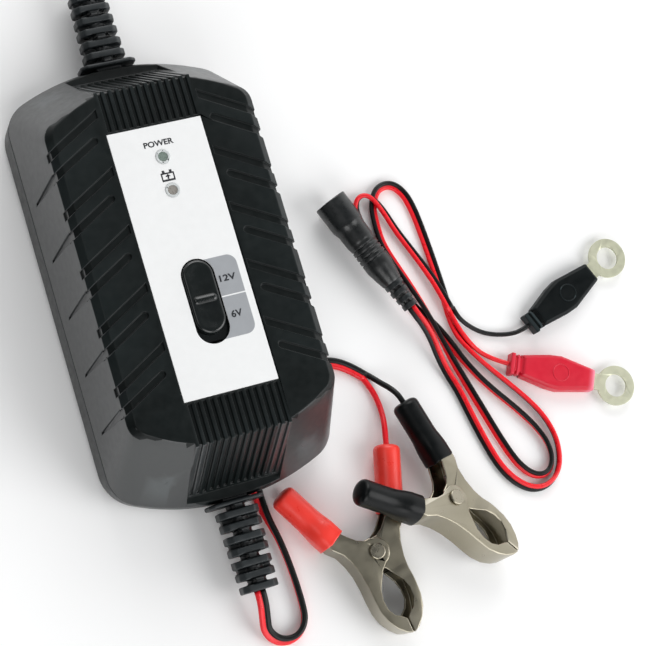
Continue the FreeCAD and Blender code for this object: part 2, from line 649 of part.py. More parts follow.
TZ = g("twin_t") / 2 + 0.08
OUT_TWIN = [(0.0, -relief_end, RZ), (0.2, -114.2, 8.1), (0.0, -119.0, 5.6), (-0.2, -124.2, 3.0), (4.0, -128.7, 1.5),
            (10.2, -128.8, TZ), (14.5, -124.4, TZ), (15.1, -117.0, TZ), (14.8, -106.5, TZ), (13.8, -96.0, TZ),
            (11.4, -86.5, TZ), (10.7, -77.5, TZ), (12.0, -67.0, TZ), (15.0, -56.5, TZ), (21.6, -47.4, TZ), (31.4, -41.2, TZ),
            (42.0, -38.8, TZ), (50.4, -40.1, TZ), (56.8, -43.7, TZ), (61.6, -48.6, TZ)]
OUT_BLACK = [(62.39, -47.83, TZ), (64.1, -49.8, 1.75), (65.6, -52.1, 3.3), (67.1, -54.3, 5.2), (68.3, -56.6, 6.9),
             (69.3, -59.11, 7.86), (70.115, -62.0, 7.88)]
OUT_RED = [(60.8, -49.4, TZ), (62.0, -52.4, 1.3), (62.9, -55.8, 1.5), (63.1, -59.5, 2.2), (62.7, -63.3, 3.4),
           (61.8, -67.1, 4.7), (60.72, -70.9, 5.33), (59.81, -74.8, 5.35)]

# ---------------------------------------------------------------- clips

RED_M = ((0.15356, 0.98814, 0.0), (-0.98814, 0.15356, 0.0), (0.0, 0.0, 1.0), (43.57, -108.62, 5.35))
BLK_M = ((0.60284, 0.71653, 0.35096), (-0.78563, 0.60981, 0.10445), (-0.13917, -0.33869, 0.93055), (73.53, -99.25, 10.77))


def placed(m):
    r = m
    mat = Matrix(r[0][0], r[0][1], r[0][2], r[3][0], r[1][0], r[1][1], r[1][2], r[3][1],
                 r[2][0], r[2][1], r[2][2], r[3][2], 0, 0, 0, 1)
    return Placement(mat)


HT, ET, SH = g("clip_half_t"), g("clip_ear_half_t"), g("clip_sheet")
HA, HB = math.radians(34.2), math.radians(23.3)
E1 = (-38.5 * math.cos(HA), 38.5 * math.sin(HA))
AX = (math.cos(HB), -math.sin(HB))
NRM = (math.sin(HB), math.cos(HB))
F1 = (E1[0] + AX[0] * g("sleeve_l"), E1[1] + AX[1] * g("sleeve_l"))


def on_axis(k, off):
    return (E1[0] + AX[0] * k + NRM[0] * off, E1[1] + AX[1] * k + NRM[1] * off)


SL = g("sleeve_l")
# outer fold, from the handle's end to the nose, and inner edge back again (fixed half, +Y side)
FOLD = [on_axis(3.0, 2.7), on_axis(SL - 6.0, 2.7), on_axis(SL - 2.5, 3.0), on_axis(SL + 1.5, 3.35), (-3.6, 11.6), (0.6, 9.8),
        (5.0, 8.75), (10.0, 8.3), (15.0, 8.35), (19.5, 8.1), (23.5, 7.0), (26.8, 5.0), (29.2, 2.7), (30.4, 0.25)]
EDGE = [(25.0, 0.25), (24.0, 1.2), (22.3, 3.6), (19.6, 5.1), (16.0, 5.3), (12.5, 4.4), (9.6, 2.6), (7.0, 1.0), (4.9, -1.2)]
EAR = [(4.2, -2.6), (2.4, -4.2), (0.0, -4.8), (-2.4, -4.2), (-4.2, -2.4), (-4.9, 0.0), (-5.0, 2.6), (-6.4, 5.2),
       (-8.6, 7.4), on_axis(SL + 0.2, -3.1), on_axis(SL - 2.5, -3.0), on_axis(SL - 6.0, -2.7), on_axis(3.0, -2.7)]


def inner_fold(t):
    """The fold line moved inwards by the sheet's thickness."""
    out = []
    for i, p in enumerate(FOLD):
        a = FOLD[max(0, i - 1)]
        c = FOLD[min(len(FOLD) - 1, i + 1)]
        dx, dy = c[0] - a[0], c[1] - a[1]
        n = math.hypot(dx, dy)
        out.append((p[0] + dy / n * t, p[1] - dx / n * t))
    return out


def mir(pts, sy):
    return [(x, sy * y) for x, y in pts]


def clip_half(sy, ear_t):
    """U-section of sheet: two side plates joined by the web along the outer fold."""
    full = FOLD + EDGE + EAR
    inn = inner_fold(SH)
    # the hollow between the plates: everything inside the fold, open on the inner side
    hollow = [on_axis(-2.0, 2.7 - SH)] + inn[1:-2] + [(27.6, 3.1), (27.2, -6.0), (10.0, -9.0), (-9.0, -9.0), on_axis(-2.0, -9.0)]
    a = prism(mir(full, sy), -HT, HT)
    if ear_t < HT:
        # plates step inwards round the pivot and along the handle, so that the other half's plates pass outside
        cutp = [(7.4, -12), (7.4, 20), (-60, 30), (-60, -12)]
        outer_l = prism(mir(cutp, sy), ear_t, HT + 1).fuse(prism(mir(cutp, sy), -HT - 1, -ear_t))
        a = a.cut(outer_l)
        jaw_h = [(8.2, -9.0)] + [(8.2, 7.5)] + [p for p in inn if p[0] > 8.2][:-2] + [(27.6, 3.1), (27.2, -6.0)]
        a = a.cut(prism(mir(jaw_h, sy), -(HT - SH), HT - SH))
        a = a.cut(prism(mir(hollow, sy), -(ear_t - SH), ear_t - SH))
    else:
        a = a.cut(prism(mir(hollow, sy), -(HT - SH), HT - SH))
        # the handle's tang is narrower, so that it goes into the sleeve
    tz = 2.75
    tang = [on_axis(-3, 6), on_axis(SL - 3.5, 6), on_axis(SL - 3.5, -6), on_axis(-3, -6)]
    a = a.cut(prism(mir(tang, sy), tz, HT + 1)).cut(prism(mir(tang, sy), -HT - 1, -tz))
    th = [on_axis(-3, 2.7 - SH), on_axis(SL - 4.3, 2.7 - SH), on_axis(SL - 4.3, -6), on_axis(-3, -6)]
    plate = prism(mir([on_axis(3, 2.7), on_axis(SL - 3.5, 2.7), on_axis(SL - 3.5, -2.7), on_axis(3, -2.7)], sy), -tz, tz)
    plate = plate.cut(prism(mir(th, sy), -(tz - SH), tz - SH))
    lim = ear_t
    step = prism(mir([on_axis(SL - 4.3, 2.7), on_axis(SL - 3.5, 2.7), on_axis(SL - 3.5, -2.7), on_axis(SL - 4.3, -2.7)], sy), -lim, lim)
    step = step.cut(prism(mir([on_axis(SL - 6, 1.9), on_axis(SL, 1.9), on_axis(SL, -6), on_axis(SL - 6, -6)], sy), -(tz - SH), tz - SH))
    a = a.fuse([plate, step])
    a = a.cut(cyl(g("rivet_r") + 0.06, 20, V(0, 0, -10)))
    return one(a)


def clip_set(colour, m):
    pl = placed(m)
    fixed = checked(clip_half(1, ET), 1, colour + " fixed jaw")
    moving = checked(clip_half(-1, HT), 1, colour + " moving jaw")
    out = {}
    for nm, s in (("fixed_jaw", fixed), ("moving_jaw", moving)):
        f = shape_part("%s_clip_%s" % (colour, nm), s)
        f.Placement = pl
        out[nm] = f
    # rivet: shank flush with the lower plate, domed head over the upper one
    zc = HT + 0.12
    head = cyl(g("rivet_head_r"), g("rivet_head_ht"), V(0, 0, zc))
    head = head.makeFillet(0.4, [e for e in head.Edges if abs(e.CenterOfMass.z - zc - g("rivet_head_ht")) < 0.01])
    r = one(cyl(g("rivet_r"), 2 * HT + 0.2, V(0, 0, -HT)).fuse(head))
    f = shape_part("%s_clip_rivet" % colour, r)
    f.Placement = pl
    # torsion spring: a little over two turns round the rivet and two straight legs towards the webs
    th0, pitch, rr = math.radians(-59.3), 1.15, 2.75
    span = 2 * math.pi * 2.0 - 2 * th0
    hz = pitch * span / (2 * math.pi)
    line = []
    for k in range(49):
        th = th0 + span * k / 48.0
        line.append(V(rr * math.cos(th), rr * math.sin(th), -hz / 2 + hz * k / 48.0))
    t0 = V(math.sin(th0), -math.cos(th0), -pitch / (2 * math.pi * rr))
    t1 = V(t0.x, -t0.y, -t0.z)
    line = [line[0] + t0 * k for k in (8.8, 7.0, 5.2, 3.5, 2.0, 0.9)] + line + [line[-1] + t1 * k for k in (0.9, 2.0, 3.5, 5.2, 7.0, 8.8)]
    curve = Part.BSplineCurve()
    curve.interpolate(line)
    prof = Part.Wire([Part.makeCircle(0.5, line[0], line[1] - line[0])])
    sp = Part.Wire([curve.toShape()]).makePipeShell([prof], True, False)
    f = shape_part("%s_clip_spring" % colour, checked(one(sp), 1, "spring"))
    f.Placement = pl
    for nm, sy in (("fixed_sleeve", 1), ("moving_sleeve", -1)):
        b0 = V(E1[0], sy * E1[1], 0)
        d = V(AX[0], sy * AX[1], 0)
        r1, r2 = g("sleeve_r"), g("sleeve_bore_r")
        wall = Part.makeCylinder(r1, SL - 7.0, b0, d).fuse(Part.makeCone(r1, r1 + 0.35, 7.0, b0 + d * (SL - 7.0), d))
        bore = Part.makeCylinder(r2, SL - 6.0 - 1.6, b0 + d * 1.6, d)
        mouth = Part.makeCone(r2, r1 - 0.1, 2.0, b0 + d * (SL - 6.01), d).fuse(
            Part.makeCylinder(r1 - 0.1 + 0.0, 6.0, b0 + d * (SL - 4.02), d))
        s = wall.cut(bore).cut(mouth)
        if sy > 0:
            s = s.cut(Part.makeCylinder(g("single_r") + 0.05, 6, b0 - d * 1, d))
        f = shape_part("%s_clip_%s" % (colour, nm), checked(one(s), 1, nm))
        f.Placement = pl
    return out


red = clip_set("red", RED_M)
blk = clip_set("black", BLK_M)

# output lead: level twin flex from the relief, under the corner of the case, then two single wires
shape_part("output_twin_lead", flat_tube(OUT_TWIN, g("twin_w"), g("twin_t"), "output twin lead"))
shape_part("output_black_wire", round_tube(OUT_BLACK, g("single_r"), "output black wire"))
shape_part("output_red_wire", round_tube(OUT_RED, g("single_r"), "output red wire"))

# ---------------------------------------------------------------- separate lead with ring terminals

CZ = g("conn_z")
CF, CR = V(65.33, 14.93, CZ), V(83.3, -29.1, CZ)
cd = CR - CF
conn_len = cd.Length
cd.normalize()
prof = [(0, g("conn_bore_r")), (0, g("conn_r") - 0.3), (0.3, g("conn_r")), (10.2, g("conn_r")), (12.6, g("conn_neck_r") + 0.1),
        (17.5, g("conn_neck_r")), (18.6, g("conn_neck_r") - 0.25), (29.0, g("conn_neck_r") - 0.2), (33.2, g("conn_neck_r") - 0.9),
        (36.6, 3.7), (36.6, 0), (g("conn_bore_l"), 0), (g("conn_bore_l"), g("conn_bore_r"))]
rot = Rotation(V(0, 0, 1), cd)
w = Part.makePolygon([V(r, 0, l) for l, r in prof] + [V(prof[0][1], 0, prof[0][0])])
shell = Part.Face(w).revolve(V(0, 0, 0), V(0, 0, 1), 360)
shell = one(Part.Solid(shell.Shells[0]) if not shell.Solids else shell)
# four fine grip grooves round the middle, and two blind sockets for the contacts
for k in range(4):
    gr = Part.makeCylinder(7, 0.5, V(0, 0, 19.8 + 1.9 * k)).cut(Part.makeCylinder(g("conn_neck_r") - 0.65, 0.5, V(0, 0, 19.8 + 1.9 * k)))
    shell = one(shell.cut(gr))
for x in (-2.1, 2.1):
    shell = one(shell.cut(Part.makeCylinder(1.2, 10.0, V(x, 0, g("conn_bore_l") - 0.5))))
f = shape_part("connector_shell", checked(shell, 1, "connector shell"))
f.Placement = Placement(CF, rot)
pins = []
for x in (-2.1, 2.1):
    pins.append(one(Part.makeCylinder(1.2, 9.3, V(x, 0, g("conn_bore_l") + 0.05)).cut(Part.makeCylinder(0.8, 7.0, V(x, 0, g("conn_bore_l") - 0.5)))))
f = shape_part("connector_contacts", Part.makeCompound(pins))
f.Placement = Placement(CF, rot)
seg = [Part.makeCylinder(1.9, conn_len - 36.6, V(0, 0, 36.6))]
sr_l = conn_len - 36.6
for k in range(4):
    z0 = 36.6 + 0.0 + k * (sr_l - 1.9) / 3.0
    seg.append(Part.makeCylinder(3.6 - 0.25 * k, 1.9, V(0, 0, z0)))
    if k < 3:
        zz = z0 + 1.8
        gl = (sr_l - 1.9) / 3.0 - 1.7
        if k % 2 == 0:
            seg.append(box(-0.9, 0.9, -3.2 + 0.25 * k, 3.2 - 0.25 * k, zz, zz + gl))
        else:
            seg.append(box(-3.2 + 0.25 * k, 3.2 - 0.25 * k, -0.9, 0.9, zz, zz + gl))
sr = seg[0].fuse(seg[1:])
f = shape_part("connector_strain_relief", checked(one(sr), 1, "connector relief"))
f.Placement = Placement(CF, rot)
print("connector length %.1f" % conn_len)

# loosely folded part of the lead: the closed outer shape of its loops, low where the connector lies on it
HANK = [(84.6, -30.6), (86.6, -36.5), (88.4, -46.5), (89.8, -56.5), (92.6, -67.5), (94.4, -78.5), (97.6, -90.0), (101.6, -98.0),
        (107.0, -103.4), (112.6, -105.2), (118.6, -104.2), (123.2, -101.2), (126.2, -95.0), (127.0, -88.0), (125.4, -80.5),
        (121.5, -72.5), (116.0, -64.5), (108.6, -54.6), (103.6, -46.0), (101.9, -38.2), (101.8, -24.0), (101.4, -8.0),
        (100.9, 4.0), (99.0, 11.8), (96.6, 17.0), (92.4, 19.4), (86.6, 18.3), (83.8, 17.0), (79.0, 16.6), (75.6, 14.6),
        (74.8, 9.6), (76.8, 3.0), (79.6, -7.0), (82.4, -18.0)]
hank = prism(HANK, 0.0, g("hank_t"))
body_clear = Part.makeCylinder(6.75, conn_len + 1.2, CF - cd * 0.6, cd)
hank = hank.cut(body_clear)
hank = [s for s in sorted(hank.Solids, key=lambda k: -k.Volume)][0]
shape_part("ring_lead_loops", checked(hank, 1, "loops"))

# start of the lead, from the connector's strain relief down into the loops
START = [(CR.x, CR.y, CZ), (84.43, -31.88, 8.1), (85.8, -34.7, 7.3), (86.9, -37.8, 6.0), (87.9, -41.0, 4.6), (89.0, -44.2, 3.4)]
RING_Z = g("ring_z")
BLACK_TAIL = [(100.4, -34.2, 3.0), (102.6, -36.9, 2.5), (105.0, -39.5, 1.9), (107.8, -42.0, 1.3), (111.2, -44.2, 1.1),
              (115.2, -45.8, 1.15), (119.6, -46.8, 1.5), (123.9, -46.9, 2.2), (127.8, -45.65, 2.7)]
RED_TAIL = [(101.6, -44.0, 2.8), (103.5, -46.9, 2.3), (105.8, -49.6, 1.6), (108.6, -52.2, 1.2), (112.0, -54.9, 1.7), (115.6, -57.35, 2.7)]


def ring_set(colour, mouth, ring_c, tail):
    """Boot and ring terminal on a line from the wire's entry to the ring's centre."""
    p0 = V(mouth[0], mouth[1], 0)
    c = V(ring_c[0], ring_c[1], 0)
    d = c - p0
    d.normalize()
    pl = Placement(p0, Rotation(V(1, 0, 0), d))
    st, bl, bw, bh = g("boot_stub_l"), g("boot_l"), g("boot_w"), g("boot_ht")
    z0 = 0.0
    lead = st + bl
    total = lead + 1.7 + g("ring_r")
    hexa = [(st, -3.9), (st + 0.36 * bl, -bw / 2 + 0.4), (st + 0.52 * bl, -bw / 2), (lead, -3.8), (lead, 3.8), (st + 0.52 * bl, bw / 2),
            (st + 0.36 * bl, bw / 2 - 0.4), (st, 3.9)]
    b = prism(hexa, z0, z0 + bh)
    # sloping edges round the top
    b = b.makeChamfer(1.0, [e for e in b.Edges if abs(e.CenterOfMass.z - bh) < 0.01])
    b = b.fuse([box(0, 1.7, -4.0, 4.0, 0.35, bh - 0.35), box(1.6, st + 0.1, -2.7, 2.7, 0.9, bh - 0.9),
                box(1.6, st + 0.1, -3.6, 3.6, bh / 2 - 0.7, bh / 2 + 0.7)])
    tongue = box(lead - 4.0, lead + 3.2, -3.0, 3.0, RING_Z, RING_Z + g("ring_t"))
    b = b.cut(tongue)
    f = shape_part(colour + "_boot", checked(one(b), 1, colour + " boot"))
    f.Placement = pl
    ring = cyl(g("ring_r"), g("ring_t"), V(total, 0, RING_Z)).fuse(box(lead - 4.0, total - 3, -3.0, 3.0, RING_Z, RING_Z + g("ring_t")))
    ring = one(ring.removeSplitter().cut(cyl(g("ring_hole_r"), 5, V(total, 0, RING_Z - 2))))
    f = shape_part(colour + "_ring_terminal", checked(ring, 1, "ring"))
    f.Placement = pl
    print(colour, "stub %.2f, boot from %.1f to %.1f, ring at %.1f, direction %.3f %.3f" % (st, st, lead, total, d.x, d.y))
    return d


dB = ring_set("black", (127.8, -45.65), (167.6, -28.3), BLACK_TAIL)
dR = ring_set("red", (115.6, -57.35), (153.3, -75.1), RED_TAIL)
shape_part("ring_lead_start", round_tube(START, 1.9, "ring lead start"))
shape_part("ring_lead_black_wire", round_tube(BLACK_TAIL, g("tail_r"), "ring lead black wire"))
shape_part("ring_lead_red_wire", round_tube(RED_TAIL, g("tail_r"), "ring lead red wire"))

# ---------------------------------------------------------------- check and write

doc.recompute()
bad = []
for o in doc.Objects:
    if any(k in ("Invalid", "Error") for k in o.State):
        bad.append("%s: %s" % (o.Label, o.State))
for o in PARTS:
    s = o.Shape
    if s.isNull() or not s.isValid() or not s.Solids:
        bad.append("%s: shape null, invalid or without solids" % o.Label)
if bad:
    raise RuntimeError("; ".join(bad))
os.makedirs("parts", exist_ok=True)
for o in PARTS:
    o.Shape.exportStep("parts/%s.step" % o.Label)
    bb = o.Shape.BoundBox
    print("%-26s solids %d  volume %9.1f  x %7.1f..%7.1f  y %7.1f..%7.1f  z %6.1f..%6.1f" % (
        o.Label, len(o.Shape.Solids), o.Shape.Volume, bb.XMin, bb.XMax, bb.YMin, bb.YMax, bb.ZMin, bb.ZMax))
print("%d parts written" % len(PARTS))
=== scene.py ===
import bpy, bmesh, json, math
from mathutils import Matrix, Vector
from mathutils.bvhtree import BVHTree

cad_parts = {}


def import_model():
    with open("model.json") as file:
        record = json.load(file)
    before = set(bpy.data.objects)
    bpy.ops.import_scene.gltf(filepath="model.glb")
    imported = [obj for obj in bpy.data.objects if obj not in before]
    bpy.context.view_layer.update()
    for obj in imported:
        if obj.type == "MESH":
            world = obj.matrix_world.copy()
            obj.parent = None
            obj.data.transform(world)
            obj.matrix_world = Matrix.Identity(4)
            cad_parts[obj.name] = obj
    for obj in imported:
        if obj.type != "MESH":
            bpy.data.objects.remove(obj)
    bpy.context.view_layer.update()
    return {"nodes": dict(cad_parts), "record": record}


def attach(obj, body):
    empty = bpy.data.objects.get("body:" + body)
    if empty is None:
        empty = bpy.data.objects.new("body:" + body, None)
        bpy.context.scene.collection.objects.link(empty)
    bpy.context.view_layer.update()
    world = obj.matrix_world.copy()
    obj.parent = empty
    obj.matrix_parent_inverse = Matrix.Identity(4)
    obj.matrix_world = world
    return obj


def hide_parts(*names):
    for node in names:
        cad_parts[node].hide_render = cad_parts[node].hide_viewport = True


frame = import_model()
NODES = frame["nodes"]
BODY = {n: b for b, ns in frame["record"]["behaviour"]["bodies"].items() for n in ns}
LINK = bpy.context.scene.collection.objects.link

# ---------------------------------------------------------------- camera


def camera():
    az, el, roll = math.radians(201.08), math.radians(69.01), math.radians(53.37)
    ca, sa, ce, se = math.cos(az), math.sin(az), math.cos(el), math.sin(el)
    d = Vector((ce * ca, ce * sa, se))
    up = Vector((-se * ca, -se * sa, ce))
    right = up.cross(d)
    r = right * math.cos(roll) + up * math.sin(roll)
    u = -right * math.sin(roll) + up * math.cos(roll)
    dist, f = 655.7, 2000.0
    at = Vector((0, 0, 44)) + d * dist - r * (-130 * dist / f) - u * (66.3 * dist / f)
    data = bpy.data.cameras.new("camera")
    data.sensor_fit = "HORIZONTAL"
    data.sensor_width = 36.0
    data.lens = f * 36.0 / 645.0
    data.clip_start, data.clip_end = 0.02, 20.0
    ob = bpy.data.objects.new("camera", data)
    LINK(ob)
    at = at * 0.001
    ob.matrix_world = Matrix(((r.x, u.x, d.x, at.x), (r.y, u.y, d.y, at.y), (r.z, u.z, d.z, at.z), (0, 0, 0, 1)))
    bpy.context.scene.camera = ob


camera()

# ---------------------------------------------------------------- materials


def lin(*c):
    return tuple(((v / 255.0 + 0.055) / 1.055) ** 2.4 if v > 10.3 else v / 255.0 / 12.92 for v in c)


def material(name, rgb, rough, metal=0.0, spec=0.5, vary=0.16, big=55.0, mid=420.0, fine=3800.0, bump=0.25, depth=0.00004,
             rough_vary=0.08, edge_wear_and_highlight=0.0, edge_wear_and_highlight_rgb=None, coat=0.0, coat_rough=0.15, stretch=None, ramp=None, trans=0.0, sheen=0.0):
    """A plastic, rubber or metal: colour drifts over the piece, roughness is uneven, and a fine moulded or drawn grain lifts the surface.
    ramp = (axis, start, end, rgb) fades to another colour between two places along the piece."""
    m = bpy.data.materials.new(name)
    m.use_nodes = True
    nt = m.node_tree
    nt.nodes.clear()
    N, L = nt.nodes.new, nt.links.new
    out = N("ShaderNodeOutputMaterial")
    p = N("ShaderNodeBsdfPrincipled")
    L(p.outputs[0], out.inputs[0])
    tc = N("ShaderNodeTexCoord")
    src = tc.outputs["Object"]
    n1 = N("ShaderNodeTexNoise"); n1.inputs["Scale"].default_value = big; n1.inputs["Detail"].default_value = 5
    n2 = N("ShaderNodeTexNoise"); n2.inputs["Scale"].default_value = mid; n2.inputs["Detail"].default_value = 4
    n3 = N("ShaderNodeTexNoise"); n3.inputs["Scale"].default_value = fine; n3.inputs["Detail"].default_value = 2
    L(src, n1.inputs["Vector"])
    L(src, n2.inputs["Vector"])
    if stretch:
        mp = N("ShaderNodeMapping")
        mp.inputs["Rotation"].default_value = (0, 0, stretch[0])
        mp.inputs["Scale"].default_value = (stretch[1], 1.0, 1.0)
        L(src, mp.inputs["Vector"])
        L(mp.outputs[0], n3.inputs["Vector"])
    else:
        L(src, n3.inputs["Vector"])
    both = N("ShaderNodeMath"); both.operation = "MULTIPLY_ADD"
    L(n2.outputs[0], both.inputs[0]); both.inputs[1].default_value = 0.45
    L(n1.outputs[0], both.inputs[2])
    cr = N("ShaderNodeValToRGB")
    cr.color_ramp.elements[0].position = 0.5
    cr.color_ramp.elements[1].position = 0.95
    cr.color_ramp.elements[0].color = tuple(c * (1 - vary) for c in rgb) + (1,)
    cr.color_ramp.elements[1].color = tuple(min(1, c * (1 + vary)) for c in rgb) + (1,)
    L(both.outputs[0], cr.inputs[0])
    col = cr.outputs[0]
    if ramp:
        axis, a, b, other = ramp
        dot = N("ShaderNodeVectorMath"); dot.operation = "DOT_PRODUCT"
        dot.inputs[1].default_value = axis
        L(src, dot.inputs[0])
        mr = N("ShaderNodeMapRange")
        mr.inputs["From Min"].default_value, mr.inputs["From Max"].default_value = a, b
        mr.interpolation_type = "SMOOTHSTEP"
        L(dot.outputs["Value"], mr.inputs["Value"])
        mx = N("ShaderNodeMix"); mx.data_type = "RGBA"
        L(mr.outputs[0], mx.inputs["Factor"]); L(col, mx.inputs["A"])
        mx.inputs["B"].default_value = tuple(other) + (1,)
        col = mx.outputs["Result"]
    # convex edges, found by pointiness, turn lighter: edge wear, and on the cover a painted highlight along its rims
    if edge_wear_and_highlight:
        geo = N("ShaderNodeNewGeometry")
        wr = N("ShaderNodeMapRange")
        wr.inputs["From Min"].default_value, wr.inputs["From Max"].default_value = 0.52, 0.62
        wr.inputs["To Max"].default_value = edge_wear_and_highlight
        L(geo.outputs["Pointiness"], wr.inputs["Value"])
        mx = N("ShaderNodeMix"); mx.data_type = "RGBA"
        L(wr.outputs[0], mx.inputs["Factor"]); L(col, mx.inputs["A"])
        mx.inputs["B"].default_value = tuple(edge_wear_and_highlight_rgb or [min(1, c * 1.7 + 0.02) for c in rgb]) + (1,)
        col = mx.outputs["Result"]
    L(col, p.inputs["Base Color"])
    rr = N("ShaderNodeMapRange")
    rr.inputs["From Min"].default_value, rr.inputs["From Max"].default_value = 0.3, 0.7
    rr.inputs["To Min"].default_value = max(0.02, rough - rough_vary)
    rr.inputs["To Max"].default_value = min(1.0, rough + rough_vary)
    L(n2.outputs[0], rr.inputs["Value"])
    L(rr.outputs[0], p.inputs["Roughness"])
    bp = N("ShaderNodeBump")
    bp.inputs["Strength"].default_value = bump
    bp.inputs["Distance"].default_value = depth
    L(n3.outputs[0], bp.inputs["Height"])
    L(bp.outputs[0], p.inputs["Normal"])
    p.inputs["Metallic"].default_value = metal
    p.inputs["Specular IOR Level"].default_value = spec
    p.inputs["Coat Weight"].default_value = coat
    p.inputs["Coat Roughness"].default_value = coat_rough
    p.inputs["Transmission Weight"].default_value = trans
    p.inputs["Sheen Weight"].default_value = sheen
    p.inputs["Sheen Roughness"].default_value = 0.45
    return m


